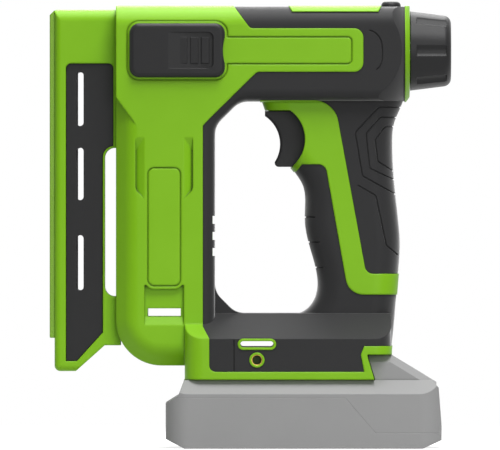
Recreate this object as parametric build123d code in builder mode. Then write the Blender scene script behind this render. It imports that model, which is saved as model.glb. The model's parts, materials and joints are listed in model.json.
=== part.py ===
"""A cordless stapler: a loop handle tool with a tall magazine at its front and a slide-on battery pack.

X runs from the contact plate at the front to the power dial at the rear, Z is up, and the two housing
halves meet on the plane Y = 0. The origin is the middle of the footprint, on the surface the pack stands on.
"""
from build123d import *
from math import acos, cos, pi, radians, sin, tan
import os

os.makedirs("parts", exist_ok=True)

# Lengths along the tool, from the front to the rear
plate_thickness = 2.2
column_depth = 27.6
barrel_length = 131.6
dial_length = 18.6
motor_body_length = 44.7

# Heights, from the surface up
pack_height = 30.6
slide_gap = 0.2
base_height = 30.0
opening_height = 94.3
barrel_height = 43.0
column_drop = 1.7
column_height = 162.0
axis_drop = 20.1

# Half widths across the tool
body_half_width = 25.0
column_half_width = 13.0
grip_half_width = 17.5
base_half_width = 34.0
base_top_half_width = 18.0
pack_half_width = 37.0

# Walls and skins
wall = 3.0
skin = 1.5

# Clearances
fit_gap = 0.1
play = 0.3
running = 0.05

# Places that follow from those sizes
tool_length = plate_thickness + column_depth + barrel_length + dial_length
front_x = -tool_length / 2
column_front_x = front_x + plate_thickness
body_front_x = column_front_x + column_depth
motor_rear_x = body_front_x + motor_body_length
barrel_rear_x = body_front_x + barrel_length
dial_rear_x = barrel_rear_x + dial_length
base_bottom_z = pack_height + slide_gap
base_top_z = base_bottom_z + base_height
barrel_bottom_z = base_top_z + opening_height
barrel_top_z = barrel_bottom_z + barrel_height
column_top_z = barrel_top_z - column_drop
column_bottom_z = column_top_z - column_height
axis_z = barrel_top_z - axis_drop
far = 2 * tool_length


def box_between(low, high, mode=Mode.ADD):
    """A block between two opposite corners."""
    middle = tuple((a + b) / 2 for a, b in zip(low, high))
    size = [b - a for a, b in zip(low, high)]
    with Locations(middle):
        Box(*size, mode=mode)


def round_bar(start, direction, length, radius, mode=Mode.ADD):
    """A round bar from its start point along a direction."""
    with BuildSketch(Plane(origin=start, z_dir=direction)) as disc:
        Circle(radius)
    extrude(disc.sketch, amount=length, mode=mode)


def corners_at(sketch, *places):
    """The corners of a sketch at the places given in its own plane."""
    return [sketch.vertices().sort_by_distance(Vertex(x, y, 0))[0] for x, y in places]


def side_edges(part, half_width):
    """The edges that lie in the two flat sides of a slab."""
    return part.edges().filter_by(lambda e: abs(abs(e.center().Y) - half_width) < 0.001)




# Barrel and motor body
gusset = 10.8
gusset_round = 9.0
barrel_top_round = 9.0
opening_round = 5.5
motor_bevel = 6.6
motor_crease = 8.0
crease_run = 5.0
bevel_seam_rise = 1.9
bevel_seam_drop = 9.0
dome_radius = 20.4
dome_drop = 23.8
foot_depth = 10.8
foot_length = 14.5
rim_radius = 20.7
shoulder_radius = 31.5
shoulder_length = 13.4
bulge_radius = 26.5
bulge_length = 4.9
seam_overlap = 7.0

dome_bottom_z = base_top_z - dome_drop
bevel_seam_z = barrel_bottom_z + bevel_seam_rise
axis_line = Axis((0, 0, axis_z), (1, 0, 0))


def barrel_form(inset):
    """The wide slab of the barrel and of the motor body's rear part, with its tapered round rear end."""
    seam_length = motor_bevel + crease_run
    seam_x = body_front_x + seam_length
    seam_drop = bevel_seam_drop * seam_length / motor_bevel
    foot_z = base_top_z - foot_depth
    upper_bend = (motor_rear_x + gusset, barrel_bottom_z)
    lower_bend = (motor_rear_x, barrel_bottom_z - gusset)
    half = body_half_width - inset
    with BuildPart() as form:
        with BuildSketch(Plane.XZ) as outline:
            with BuildLine():
                Polyline(
                    (body_front_x, barrel_top_z),
                    (barrel_rear_x, barrel_top_z),
                    (barrel_rear_x, barrel_bottom_z),
                    upper_bend,
                    lower_bend,
                    (motor_rear_x, foot_z),
                    (motor_rear_x - foot_length, foot_z),
                    (seam_x, dome_bottom_z + dome_radius + motor_bevel),
                    (seam_x, bevel_seam_z - seam_drop),
                    (body_front_x, bevel_seam_z),
                    close=True,
                )
            make_face()
            fillet(corners_at(outline, upper_bend, lower_bend), gusset_round)
            if inset:
                offset(amount=-inset, kind=Kind.INTERSECTION)
        extrude(amount=half, both=True)
        top = side_edges(form, half).group_by(Axis.Z)[-1]
        fillet(top, barrel_top_round - inset)
        reach_x = motor_rear_x - inset - fit_gap
        reach_z = barrel_bottom_z + inset + fit_gap
        around = side_edges(form, half).filter_by(lambda e: e.center().X > reach_x and e.center().Z < reach_z)
        fillet(around, opening_round - inset)
        rear_x = barrel_rear_x - inset
        with BuildSketch(Plane.XZ):
            with BuildLine():
                taper = ThreePointArc(
                    (rear_x - shoulder_length, axis_z + shoulder_radius - inset),
                    (rear_x - bulge_length, axis_z + bulge_radius - inset),
                    (rear_x, axis_z + rim_radius - inset),
                )
                Polyline(
                    taper @ 1,
                    (rear_x, axis_z),
                    (front_x, axis_z),
                    (front_x, axis_z + far),
                    taper @ 0,
                )
            make_face()
        revolve(axis=axis_line, mode=Mode.INTERSECT)
    return form.part


def motor_form(inset):
    """The bevelled front and the rounded bottom of the motor body."""
    rear_x = motor_rear_x - seam_overlap
    half = body_half_width - inset
    toe = (body_front_x, dome_bottom_z)
    with BuildPart() as form:
        with BuildSketch(Plane.XZ) as outline:
            with BuildLine():
                Polyline(
                    (body_front_x, bevel_seam_z),
                    (rear_x, bevel_seam_z),
                    (rear_x, dome_bottom_z),
                    toe,
                    close=True,
                )
            make_face()
            fillet(corners_at(outline, toe), dome_radius)
            if inset:
                offset(amount=-inset, kind=Kind.INTERSECTION)
        extrude(amount=half, both=True)
        reach_x = rear_x - inset - fit_gap
        reach_z = bevel_seam_z - inset - fit_gap

        def around():
            """The edges of the two sides along the front and the bottom."""
            sides = side_edges(form, half)
            return sides.filter_by(lambda e: e.center().X < reach_x and e.center().Z < reach_z)

        chamfer(around(), motor_bevel - inset * (2 - 2 ** 0.5))
        fillet(around(), motor_crease - inset)
    return form.part


# Magazine column
column_root = 2.0
bridge_drop = 14.8
gap_length = 5.1
gap_height = 66.5
gap_lift = 7.2
gap_round = 4.4
toe_length = 9.5
column_round = 2.6
column_corner = 0.8
column_top_round = 5.0

gap_front_x = body_front_x - gap_length
gap_bottom_z = base_top_z + gap_lift
bridge_z = base_top_z - bridge_drop


def column_form(inset):
    """The narrow magazine column at the front, with the gap between it and the motor body."""
    half = column_half_width - inset
    top_corner = (column_front_x, column_top_z)
    bottom_corner = (column_front_x, column_bottom_z)
    with BuildPart() as form:
        with BuildSketch(Plane.XZ) as outline:
            with BuildLine():
                Polyline(
                    top_corner,
                    (body_front_x + column_root, column_top_z),
                    (body_front_x + column_root, bridge_z),
                    (gap_front_x, bridge_z),
                    (column_front_x + toe_length, column_bottom_z),
                    bottom_corner,
                    close=True,
                )
            make_face()
            fillet(corners_at(outline, top_corner), column_corner)
            fillet(corners_at(outline, bottom_corner), column_round)
            if inset:
                offset(amount=-inset, kind=Kind.INTERSECTION)
        extrude(amount=half, both=True)
        if inset < column_round:
            front = side_edges(form, half).sort_by(Axis.X)[:2]
            fillet(front, column_round - inset)
        top_z = column_top_z - inset
        low_z = column_bottom_z - far
        with BuildSketch(Plane.YZ) as section:
            with BuildLine():
                Polyline((-half, low_z), (-half, top_z), (half, top_z), (half, low_z), close=True)
            make_face()
            fillet(corners_at(section, (-half, top_z), (half, top_z)), column_top_round - inset)
        extrude(amount=far, both=True, mode=Mode.INTERSECT)
        gap_corners = [(gap_front_x, gap_bottom_z), (gap_front_x, gap_bottom_z + gap_height)]
        with BuildSketch(Plane.XZ) as gap:
            with BuildLine():
                Polyline(
                    *gap_corners,
                    (body_front_x + gap_length, gap_bottom_z + gap_height),
                    (body_front_x + gap_length, gap_bottom_z),
                    close=True,
                )
            make_face()
            fillet(corners_at(gap, *gap_corners), gap_round)
            if inset:
                offset(amount=inset, kind=Kind.INTERSECTION)
        extrude(amount=far, both=True, mode=Mode.SUBTRACT)
    return form.part


# Grip and trigger cut-out
opening_length = 39.5
grip_depth = 43.0
grip_round = 11.0
grip_bottom_drop = 18.8
trigger_top_drop = 3.8
trigger_height = 25.6
notch_lead = 6.3
notch_bulge = 6.6
notch_bulge_drop = 10.8
notch_slant = 9.8
notch_reach = 29.4
grip_head_share = 1.16
grip_head_setback = 6.0
grip_tail_setback = 3.7

# The grip's outline, each point a distance along X and a share of the hand opening's height
grip_front = [
    (-22.5, 1.11),
    (-17.5, 0.96),
    (-6.1, 0.687),
    (-0.8, 0.601),
    (0, 0.439),
    (2.1, 0.315),
    (5.2, 0.193),
    (5.6, 0.11),
    (2.7, 0.036),
    (-4.5, -0.005),
]
grip_rear = [
    (2.6, 1.036),
    (0.7, 0.972),
    (-2.1, 0.9),
    (-3.0, 0.802),
    (-2.4, 0.649),
    (-0.2, 0.429),
    (0.4, 0.344),
    (-0.4, 0.183),
    (-2.1, -0.038),
]

waist_x = motor_rear_x + opening_length
grip_rear_x = waist_x + grip_depth
grip_bottom_z = base_top_z - grip_bottom_drop
trigger_top_z = barrel_bottom_z - trigger_top_drop
trigger_bottom_z = trigger_top_z - trigger_height


def on_grip(start_x, along_x, share):
    """A point of the grip's outline: a distance along X, and a share of the hand opening's height."""
    return (start_x + along_x, base_top_z + share * opening_height)


def shifted(points, distance):
    """Points moved sideways, to the left of a smooth curve through them, by a distance."""
    curve = Spline(*points, mode=Mode.PRIVATE)
    moved = []
    for point in points:
        heading = curve % curve.param_at_point(Vector(*point))
        moved.append(Vector(*point) + Vector(-heading.Y, heading.X) * distance)
    return moved


def grip_form(inset):
    """The grip, from inside the barrel down to the pack, rounded on its front and rear edges."""
    half = grip_half_width - inset
    front_points = [on_grip(waist_x, *place) for place in grip_front]
    rear_points = [on_grip(grip_rear_x, *place) for place in grip_rear]
    rear_points.append((grip_rear_x - grip_tail_setback, grip_bottom_z))
    head_front_x = waist_x + grip_front[0][0] + inset
    with BuildPart() as form:
        with BuildSketch(Plane.XZ):
            with BuildLine():
                front = Spline(*shifted(front_points, inset))
                rear = Spline(*shifted(rear_points, -inset))
                Polyline(front @ 1, ((front @ 1).X, grip_bottom_z), rear @ 1)
                Polyline(
                    rear @ 0,
                    on_grip(grip_rear_x, -grip_head_setback, grip_head_share),
                    on_grip(head_front_x, 0, grip_head_share),
                    front @ 0,
                )
            make_face()
        extrude(amount=half, both=True)
        curved = side_edges(form, half).filter_by(GeomType.LINE, reverse=True)
        fillet(curved, grip_round - inset)
        foot_z = grip_bottom_z + inset
        box_between((-far, -far, foot_z - far), (far, far, foot_z), mode=Mode.SUBTRACT)
    return form.part


def trigger_notch(outset):
    """The curved cut-out in the front of the grip that the trigger stands in."""
    back_x = waist_x - notch_lead
    low_z = trigger_bottom_z - notch_slant
    with BuildPart() as notch:
        with BuildSketch(Plane.XZ):
            with BuildLine():
                curve = ThreePointArc(
                    (back_x, trigger_bottom_z - play),
                    (back_x + notch_bulge, trigger_top_z - notch_bulge_drop),
                    (back_x, trigger_top_z),
                )
                Polyline(
                    curve @ 1,
                    (back_x - notch_reach, trigger_top_z),
                    (back_x - notch_reach, low_z),
                    (back_x - notch_slant, low_z),
                    curve @ 0,
                )
            make_face()
            if outset:
                offset(amount=outset, kind=Kind.INTERSECTION)
        extrude(amount=far, both=True)
    return notch.part


# Base
base_front_lead = 13.9
base_length = 81.7
base_rear_lean = 3.1
base_rear_height = 10.3
base_tail = 11.0
base_shoulder_drop = 11.6
base_round = 8.0
corner_rise = 9.1
corner_round = 9.0

base_front_x = motor_rear_x - base_front_lead
base_rear_x = base_front_x + base_length
base_tail_x = base_rear_x + base_tail
base_shoulder_z = base_top_z - base_shoulder_drop


def base_form(inset):
    """The wide base over the pack, with sloping shoulders and a tail that overhangs its leaning rear."""
    foot_x = base_rear_x + base_rear_lean
    half = base_half_width - inset
    with BuildPart() as form:
        with BuildSketch(Plane.YZ.offset(base_front_x + inset)):
            with BuildLine():
                Polyline(
                    (-base_half_width, base_bottom_z),
                    (base_half_width, base_bottom_z),
                    (base_half_width, base_shoulder_z),
                    (base_top_half_width, base_top_z),
                    (-base_top_half_width, base_top_z),
                    (-base_half_width, base_shoulder_z),
                    close=True,
                )
            make_face()
            if inset:
                offset(amount=-inset, kind=Kind.INTERSECTION)
        extrude(amount=base_tail_x - base_front_x - 2 * inset)
        fillet(form.edges().filter_by(Axis.Z), base_round - inset)
        with BuildSketch(Plane.XZ):
            with BuildLine():
                Polyline(
                    (foot_x, base_bottom_z),
                    (base_rear_x, base_bottom_z + base_rear_height),
                    (base_rear_x, grip_bottom_z),
                    (foot_x + far, grip_bottom_z),
                    (foot_x + far, base_bottom_z - far),
                    (foot_x, base_bottom_z - far),
                    close=True,
                )
            make_face()
            if inset:
                offset(amount=inset, kind=Kind.INTERSECTION)
        extrude(amount=far, both=True, mode=Mode.SUBTRACT)
    return form.part


def corner_form(inset):
    """The rounded lower front corner of the hand opening."""
    upper_bend = (motor_rear_x, base_top_z + corner_rise)
    lower_bend = (motor_rear_x + corner_rise, base_top_z)
    half = base_top_half_width - inset
    with BuildPart() as form:
        with BuildSketch(Plane.XZ) as outline:
            with BuildLine():
                Polyline(
                    upper_bend,
                    lower_bend,
                    (motor_rear_x + 2 * corner_rise, base_top_z),
                    (motor_rear_x + 2 * corner_rise, base_top_z - corner_rise),
                    (motor_rear_x - corner_rise, base_top_z - corner_rise),
                    (motor_rear_x - corner_rise, base_top_z + 2 * corner_rise),
                    (motor_rear_x, base_top_z + 2 * corner_rise),
                    close=True,
                )
            make_face()
            fillet(corners_at(outline, upper_bend, lower_bend), corner_round)
            if inset:
                offset(amount=-inset, kind=Kind.INTERSECTION)
        extrude(amount=half, both=True)
    return form.part


def tool_form(inset):
    """The outside of the whole tool, or the surface that lies deeper by the inset."""
    with BuildPart() as form:
        add(grip_form(inset))
        add(trigger_notch(inset), mode=Mode.SUBTRACT)
        add(barrel_form(inset))
        add(motor_form(inset))
        add(column_form(inset))
        add(base_form(inset))
        add(corner_form(inset))
    return form.part


# Soft overmould, its green island and the engraved lines
over_lead = 5.8
panel_lead = 15.3
panel_length = 50.7
panel_lift = 13.3
panel_height = 19.5
panel_round = 4.2
region_round = 3.0
trim_height = 3.5
rim_length = 2.2
spine_lead = 34.1
spine_length = 38.6
spine_depth = 2.8
spine_ramp = 3.1
tail_trim = 3.8
island_round = 8.0
neck_round = 11.0
island_bend_round = 3.8
soft_sink = 0.4
groove_depth = 0.5
groove_width = 0.6
line_bend = 2.0
base_seam_lead = 8.1

# The island around the trigger and down the grip, in the same terms as the grip's outline, from the waist
island_neck = (13.6, 1.0064)
island_knee = (27.8, 0.183)
island_heel = (19.9, 0.084)
island_chest = (9.6, 0.703)
island_outline = [
    (-19.7, 1.0064),
    island_neck,
    island_knee,
    (60.0, 0.183),
    (60.0, 0.084),
    island_heel,
    island_chest,
    (-0.9, 0.703),
    (-3.6, 0.667),
    (-19.7, 0.667),
]

# Engraved lines on the sides of the grip, in the same terms, from the rear of the grip
grip_lines = [
    [(1.0, 0.975), (-9.5, 0.975), (-20.1, 0.853), (-16.9, 0.648), (-1.7, 0.559)],
    [(-1.2, 0.927), (-8.9, 0.926), (-15.3, 0.848), (-13.6, 0.684), (-2.1, 0.627)],
    [(-2.1, 0.884), (-6.6, 0.883), (-11.2, 0.819), (-10.0, 0.717), (-3.0, 0.67)],
    [(-19.0, 0.604), (-10.9, 0.555), (-6.2, 0.319), (-1.2, 0.274)],
]

# Short creases for the fingers at the front of the grip, each with its start and end from the waist
finger_creases = [(-2.5, 5.0, 0.452), (-0.7, 7.1, 0.334), (2.6, 8.9, 0.213)]

# The engraved arc on the sides of the barrel, from the upper rear corner of the side panel
barrel_line = [(2.7, -0.9), (7.6, -4.9), (8.5, -11.2), (7.6, -16.6), (5.8, -18.6)]

over_front_x = motor_rear_x - over_lead
panel_front_x = motor_rear_x + panel_lead
panel_rear_x = panel_front_x + panel_length
panel_bottom_z = barrel_bottom_z + panel_lift
panel_top_z = panel_bottom_z + panel_height
trim_z = base_bottom_z + trim_height
tail_z = grip_bottom_z + tail_trim
rim_x = barrel_rear_x - rim_length
spine_front_x = motor_rear_x + spine_lead
spine_rear_x = spine_front_x + spine_length
spine_z = barrel_top_z - spine_depth

outside = tool_form(0)
soft_face = tool_form(soft_sink)
under_groove = tool_form(soft_sink + groove_depth)
under_skin = tool_form(skin)
inside = tool_form(wall)

with BuildPart() as soft_region:
    panel_corners = [(panel_rear_x, panel_top_z), (panel_rear_x, panel_bottom_z)]
    panel_start = (panel_front_x, panel_top_z)
    panel_knee = (panel_front_x + spine_ramp, panel_bottom_z)
    trim_corner = (motor_rear_x - over_lead / 2, trim_z)
    neck, knee, heel, chest = [
        on_grip(waist_x, *place) for place in (island_neck, island_knee, island_heel, island_chest)
    ]
    with BuildSketch(Plane.XZ) as region:
        with BuildLine():
            Polyline(
                (motor_rear_x + over_lead, barrel_top_z + wall),
                panel_start,
                *panel_corners,
                panel_knee,
                (motor_rear_x - over_lead / 2, barrel_bottom_z - gusset + spine_ramp),
                (over_front_x, barrel_bottom_z - gusset),
                (over_front_x, base_shoulder_z + foot_depth / 2),
                (motor_rear_x - over_lead / 2, base_shoulder_z),
                trim_corner,
                (base_rear_x - skin, trim_z),
                (base_rear_x - wall, grip_bottom_z),
                (base_rear_x - skin, tail_z),
                (rim_x, tail_z),
                (rim_x, barrel_top_z + wall),
                close=True,
            )
        make_face()
        fillet(corners_at(region, *panel_corners), panel_round)
        fillet(corners_at(region, panel_start, panel_knee, trim_corner), region_round)
        with BuildSketch(mode=Mode.SUBTRACT) as island:
            with BuildLine():
                Polyline(*[on_grip(waist_x, *place) for place in island_outline], close=True)
            make_face()
            fillet(corners_at(island, neck), neck_round)
            fillet(corners_at(island, heel), island_round)
            fillet(corners_at(island, knee, chest), island_bend_round)
        with BuildLine():
            Polyline(
                (spine_front_x - spine_ramp, barrel_top_z + wall),
                (spine_front_x, spine_z),
                (spine_rear_x, spine_z),
                (spine_rear_x + spine_ramp, barrel_top_z + wall),
                close=True,
            )
        make_face(mode=Mode.SUBTRACT)
    extrude(amount=far, both=True)

with BuildPart() as engraving:
    with BuildSketch(Plane.XZ):
        for places in grip_lines:
            with BuildLine():
                FilletPolyline(*[on_grip(grip_rear_x, *place) for place in places], radius=line_bend)
            trace(line_width=groove_width)
        for crease_x, crease_end_x, share in finger_creases:
            with BuildLine():
                Line(on_grip(waist_x, crease_x, share), on_grip(waist_x, crease_end_x, share))
            trace(line_width=groove_width)
        with BuildLine():
            Spline(*[(panel_rear_x + x, panel_top_z + z) for x, z in barrel_line])
        trace(line_width=groove_width)
        with BuildLine():
            seam_x = motor_rear_x + base_seam_lead
            Line((seam_x, trim_z), (seam_x, base_shoulder_z - groove_width))
        trace(line_width=groove_width)
    extrude(amount=far, both=True)
    add(under_groove, mode=Mode.SUBTRACT)

with BuildPart() as soft_zone:
    add(soft_region.part)
    add(under_skin, mode=Mode.SUBTRACT)

with BuildPart() as overmould:
    add(soft_zone.part)
    add(soft_face, mode=Mode.INTERSECT)
    add(engraving.part, mode=Mode.SUBTRACT)


# Motor and planetary gears
motor_radius = 17.9
can_wall = 1.2
motor_lift = 4.2
end_cap_height = 7.0
can_height = 46.0
motor_shaft_radius = 1.6
rotor_radius = 11.0
rotor_end_gap = 3.2
shaft_short = 1.0
gear_module = 0.6
sun_teeth = 12
planet_teeth = 18
ring_teeth = 48
pressure_angle = radians(20)
tooth_reach = 0.85
tooth_depth = 1.15
backlash = 0.08
gear_height = 7.0
ring_floor = 2.0
ring_height = 15.6
carrier_thickness = 3.0
gear_end_gap = 1.0
planet_pin_radius = 1.5
cover_flange = 4.0
nose_radius = 9.5
nose_height = 18.9
output_radius = 4.0
bearing_radius = 7.0

motor_x = body_front_x + motor_body_length / 2
motor_bottom_z = base_top_z + motor_lift
can_bottom_z = motor_bottom_z + end_cap_height
can_top_z = can_bottom_z + can_height
gear_bottom_z = can_top_z + ring_floor + gear_end_gap
gear_top_z = gear_bottom_z + gear_height
carrier_bottom_z = gear_top_z + gear_end_gap
carrier_top_z = carrier_bottom_z + carrier_thickness
ring_top_z = can_top_z + ring_height
nose_top_z = ring_top_z + cover_flange + nose_height
planet_orbit = gear_module * (sun_teeth + planet_teeth) / 2
planet_angles = [0, 120, 240]


def gear_teeth(teeth, module, reach, depth, thinning, angles):
    """Gear teeth with curved flanks around the middle of a sketch, pointing at the angles given."""
    pitch_radius = teeth * module / 2
    base_radius = pitch_radius * cos(pressure_angle)
    tip_radius = pitch_radius + reach * module
    root_radius = pitch_radius - depth * module
    start_radius = max(base_radius, root_radius)
    half_tooth = pi / (2 * teeth) - thinning / (2 * pitch_radius)

    def flank(radius):
        """Half the angle of the tooth at a radius, on the curve that a taut string unwinds along."""
        slope = acos(min(1, base_radius / radius))
        return half_tooth + tan(pressure_angle) - pressure_angle - tan(slope) + slope

    def point(radius, angle):
        return (radius * cos(angle), radius * sin(angle))

    middle_radius = (start_radius + tip_radius) / 2
    inner_radius = root_radius - module
    for angle in angles:
        turn = radians(angle)
        with BuildLine() as tooth:
            right = ThreePointArc(
                point(start_radius, turn - flank(start_radius)),
                point(middle_radius, turn - flank(middle_radius)),
                point(tip_radius, turn - flank(tip_radius)),
            )
            left = ThreePointArc(
                point(start_radius, turn + flank(start_radius)),
                point(middle_radius, turn + flank(middle_radius)),
                point(tip_radius, turn + flank(tip_radius)),
            )
            Line(right @ 1, left @ 1)
            Polyline(
                left @ 0,
                point(inner_radius, turn + flank(start_radius)),
                point(inner_radius, turn - flank(start_radius)),
                right @ 0,
            )
        make_face(tooth.edges())
    return root_radius


def every_tooth(teeth, first=0):
    """The directions of all the teeth of a gear, from the first one on."""
    return [first + 360 / teeth * count for count in range(teeth)]


with BuildPart() as motor_end_cap:
    with BuildSketch(Plane.XY.offset(motor_bottom_z)):
        with Locations((motor_x, 0)):
            Circle(motor_radius)
            Circle(motor_shaft_radius + running, mode=Mode.SUBTRACT)
    extrude(amount=end_cap_height)
    rim = motor_end_cap.edges().group_by(Axis.Z)[0].sort_by(SortBy.RADIUS)[-1]
    chamfer(rim, can_wall)
motor_end_cap.part.label = "motor_end_cap"
export_step(motor_end_cap.part, "parts/motor_end_cap.step")

with BuildPart() as motor_can:
    round_bar((motor_x, 0, can_bottom_z), (0, 0, 1), can_height, motor_radius)
    can_inner = motor_radius - can_wall
    shaft_hole = motor_shaft_radius + can_wall
    round_bar((motor_x, 0, can_bottom_z), (0, 0, 1), can_height - can_wall, can_inner, Mode.SUBTRACT)
    round_bar((motor_x, 0, can_bottom_z), (0, 0, 1), can_height, shaft_hole, Mode.SUBTRACT)
motor_can.part.label = "motor_can"
export_step(motor_can.part, "parts/motor_can.step")

with BuildPart() as motor_armature:
    shaft_bottom_z = motor_bottom_z + shaft_short
    rotor_bottom_z = can_bottom_z + rotor_end_gap
    round_bar((motor_x, 0, shaft_bottom_z), (0, 0, 1), gear_top_z - shaft_bottom_z, motor_shaft_radius)
    round_bar((motor_x, 0, rotor_bottom_z), (0, 0, 1), can_height - 2 * rotor_end_gap, rotor_radius)
motor_armature.part.label = "motor_armature"
export_step(motor_armature.part, "parts/motor_armature.step")

with BuildPart() as sun_gear:
    with BuildSketch(Plane((motor_x, 0, gear_bottom_z))):
        sun_root = gear_teeth(
            sun_teeth, gear_module, tooth_reach, tooth_depth, backlash, every_tooth(sun_teeth)
        )
        Circle(sun_root)
        Circle(motor_shaft_radius, mode=Mode.SUBTRACT)
    extrude(amount=gear_height)
sun_gear.part.label = "sun_gear"
export_step(sun_gear.part, "parts/sun_gear.step")

for number, angle in enumerate(planet_angles, 1):
    planet_x = motor_x + planet_orbit * cos(radians(angle))
    planet_y = planet_orbit * sin(radians(angle))
    first_tooth = angle + 180 + 180 / planet_teeth
    with BuildPart() as planet_gear:
        with BuildSketch(Plane((planet_x, planet_y, gear_bottom_z))):
            tooth_angles = every_tooth(planet_teeth, first_tooth)
            planet_root = gear_teeth(
                planet_teeth, gear_module, tooth_reach, tooth_depth, backlash, tooth_angles
            )
            Circle(planet_root)
            Circle(planet_pin_radius + running, mode=Mode.SUBTRACT)
        extrude(amount=gear_height)
    planet_gear.part.label = "planet_gear_" + str(number)
    export_step(planet_gear.part, "parts/planet_gear_" + str(number) + ".step")

with BuildPart() as ring_gear:
    round_bar((motor_x, 0, can_top_z), (0, 0, 1), ring_height, motor_radius)
    with BuildSketch(Plane((motor_x, 0, can_top_z + ring_floor))):
        tooth_angles = every_tooth(ring_teeth, 180 / ring_teeth)
        ring_inner = gear_teeth(ring_teeth, gear_module, tooth_depth, tooth_reach, -backlash, tooth_angles)
        Circle(ring_inner)
    extrude(amount=ring_height, mode=Mode.SUBTRACT)
    carrier_bore = gear_module * (ring_teeth / 2 + tooth_depth) + play
    round_bar((motor_x, 0, gear_top_z + play), (0, 0, 1), ring_height, carrier_bore, Mode.SUBTRACT)
    round_bar((motor_x, 0, can_top_z), (0, 0, 1), ring_floor, shaft_hole, Mode.SUBTRACT)
ring_gear.part.label = "ring_gear"
export_step(ring_gear.part, "parts/ring_gear.step")

# Sector gear and the rack on the hammer carriage
rack_module = 1.0
sector_blank_teeth = 18
sector_teeth = 7
sector_height = 7.0
sector_gap = 0.7

sector_pitch = rack_module * sector_blank_teeth / 2
sector_bottom_z = nose_top_z + sector_gap
sector_top_z = sector_bottom_z + sector_height

with BuildPart() as planet_carrier:
    carrier_radius = carrier_bore - play
    round_bar((motor_x, 0, carrier_bottom_z), (0, 0, 1), carrier_thickness, carrier_radius)
    round_bar((motor_x, 0, carrier_top_z), (0, 0, 1), sector_top_z - carrier_top_z, output_radius)
    for angle in planet_angles:
        pin_x = motor_x + planet_orbit * cos(radians(angle))
        pin_y = planet_orbit * sin(radians(angle))
        pin_length = carrier_bottom_z - gear_bottom_z
        round_bar((pin_x, pin_y, gear_bottom_z), (0, 0, 1), pin_length, planet_pin_radius)
planet_carrier.part.label = "planet_carrier"
export_step(planet_carrier.part, "parts/planet_carrier.step")

with BuildPart() as gearbox_cover:
    round_bar((motor_x, 0, ring_top_z), (0, 0, 1), cover_flange, motor_radius)
    round_bar((motor_x, 0, ring_top_z), (0, 0, 1), cover_flange + nose_height, nose_radius)
    round_bar((motor_x, 0, ring_top_z), (0, 0, 1), cover_flange, output_radius + play, Mode.SUBTRACT)
    bearing_z = ring_top_z + cover_flange
    round_bar((motor_x, 0, bearing_z), (0, 0, 1), nose_height, bearing_radius, Mode.SUBTRACT)
gearbox_cover.part.label = "gearbox_cover"
export_step(gearbox_cover.part, "parts/gearbox_cover.step")

with BuildPart() as output_bearing:
    round_bar((motor_x, 0, bearing_z), (0, 0, 1), nose_height, bearing_radius)
    round_bar((motor_x, 0, bearing_z), (0, 0, 1), nose_height, output_radius + running, Mode.SUBTRACT)
output_bearing.part.label = "output_bearing"
export_step(output_bearing.part, "parts/output_bearing.step")

with BuildPart() as sector_gear:
    with BuildSketch(Plane((motor_x, 0, sector_bottom_z))):
        tooth_angles = every_tooth(sector_blank_teeth, 90)[:sector_teeth]
        sector_root = gear_teeth(
            sector_blank_teeth, rack_module, tooth_reach, tooth_depth, backlash, tooth_angles
        )
        Circle(sector_root)
        Circle(output_radius, mode=Mode.SUBTRACT)
    extrude(amount=sector_height)
sector_gear.part.label = "sector_gear"
export_step(sector_gear.part, "parts/sector_gear.step")

# Hammer: carriage, blade, rods, springs and bulkheads
carriage_length = 22.0
carriage_half_width = 17.0
carriage_below = 8.0
carriage_above = 12.0
carriage_bevel = 2.4
bulkhead_thickness = 3.0
bumper_thickness = 2.0
bumper_margin = 3.0
rod_radius = 2.5
rod_spread = 12.0
rod_lift = 6.0
blade_thickness = 1.2
blade_half_width = 5.3
blade_seat = 8.0
blade_back = 1.2
rack_back = 3.8
rack_height = 6.2
rack_root = 4.8
spring_radius = 9.0
spring_wall = 2.4
pocket_depth = 6.0
rod_length = 60.0
bulkhead_half_width = 18.5
bulkhead_above = 14.5
bulkhead_below = 8.0
rear_bulkhead_thickness = 6.0
rear_bulkhead_lead = 13.6
rear_bulkhead_bevel = 6.0
collar_radius = 6.5
collar_thickness = 2.0
spindle_radius = 4.0
seat_thickness = 6.0
seat_half_width = 11.0
seat_bevel = 3.0
seat_lead = 31.4
preload_travel = 6.0

body_inner_x = body_front_x + wall
bumper_x = body_inner_x + bulkhead_thickness
carriage_front_x = bumper_x + bumper_thickness + slide_gap
carriage_rear_x = carriage_front_x + carriage_length
carriage_bottom_z = axis_z - carriage_below
rod_z = axis_z + rod_lift
rod_rear_x = body_inner_x + rod_length
rear_bulkhead_x = barrel_rear_x - rear_bulkhead_lead - rear_bulkhead_thickness
seat_x = barrel_rear_x - seat_lead - seat_thickness
rack_low_z = sector_bottom_z + play
rack_root_y = sector_pitch + tooth_depth * rack_module
rack_back_y = rack_root_y + rack_back
blade_tip_x = front_x + blade_back


def bulkhead(start_x, thickness):
    """A plate across the barrel that holds the two guide rods."""
    low = (start_x, -bulkhead_half_width, axis_z - bulkhead_below)
    high = (start_x + thickness, bulkhead_half_width, axis_z + bulkhead_above)
    box_between(low, high)
    for side in (-1, 1):
        round_bar((start_x, side * rod_spread, rod_z), (1, 0, 0), thickness, rod_radius, Mode.SUBTRACT)


with BuildPart() as front_bulkhead:
    bulkhead(body_inner_x, bulkhead_thickness)
    slot = (blade_half_width + play, blade_thickness / 2 + play)
    box_between(
        (body_inner_x, -slot[0], axis_z - slot[1]), (bumper_x, slot[0], axis_z + slot[1]), mode=Mode.SUBTRACT
    )
front_bulkhead.part.label = "front_bulkhead"
export_step(front_bulkhead.part, "parts/front_bulkhead.step")

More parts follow.
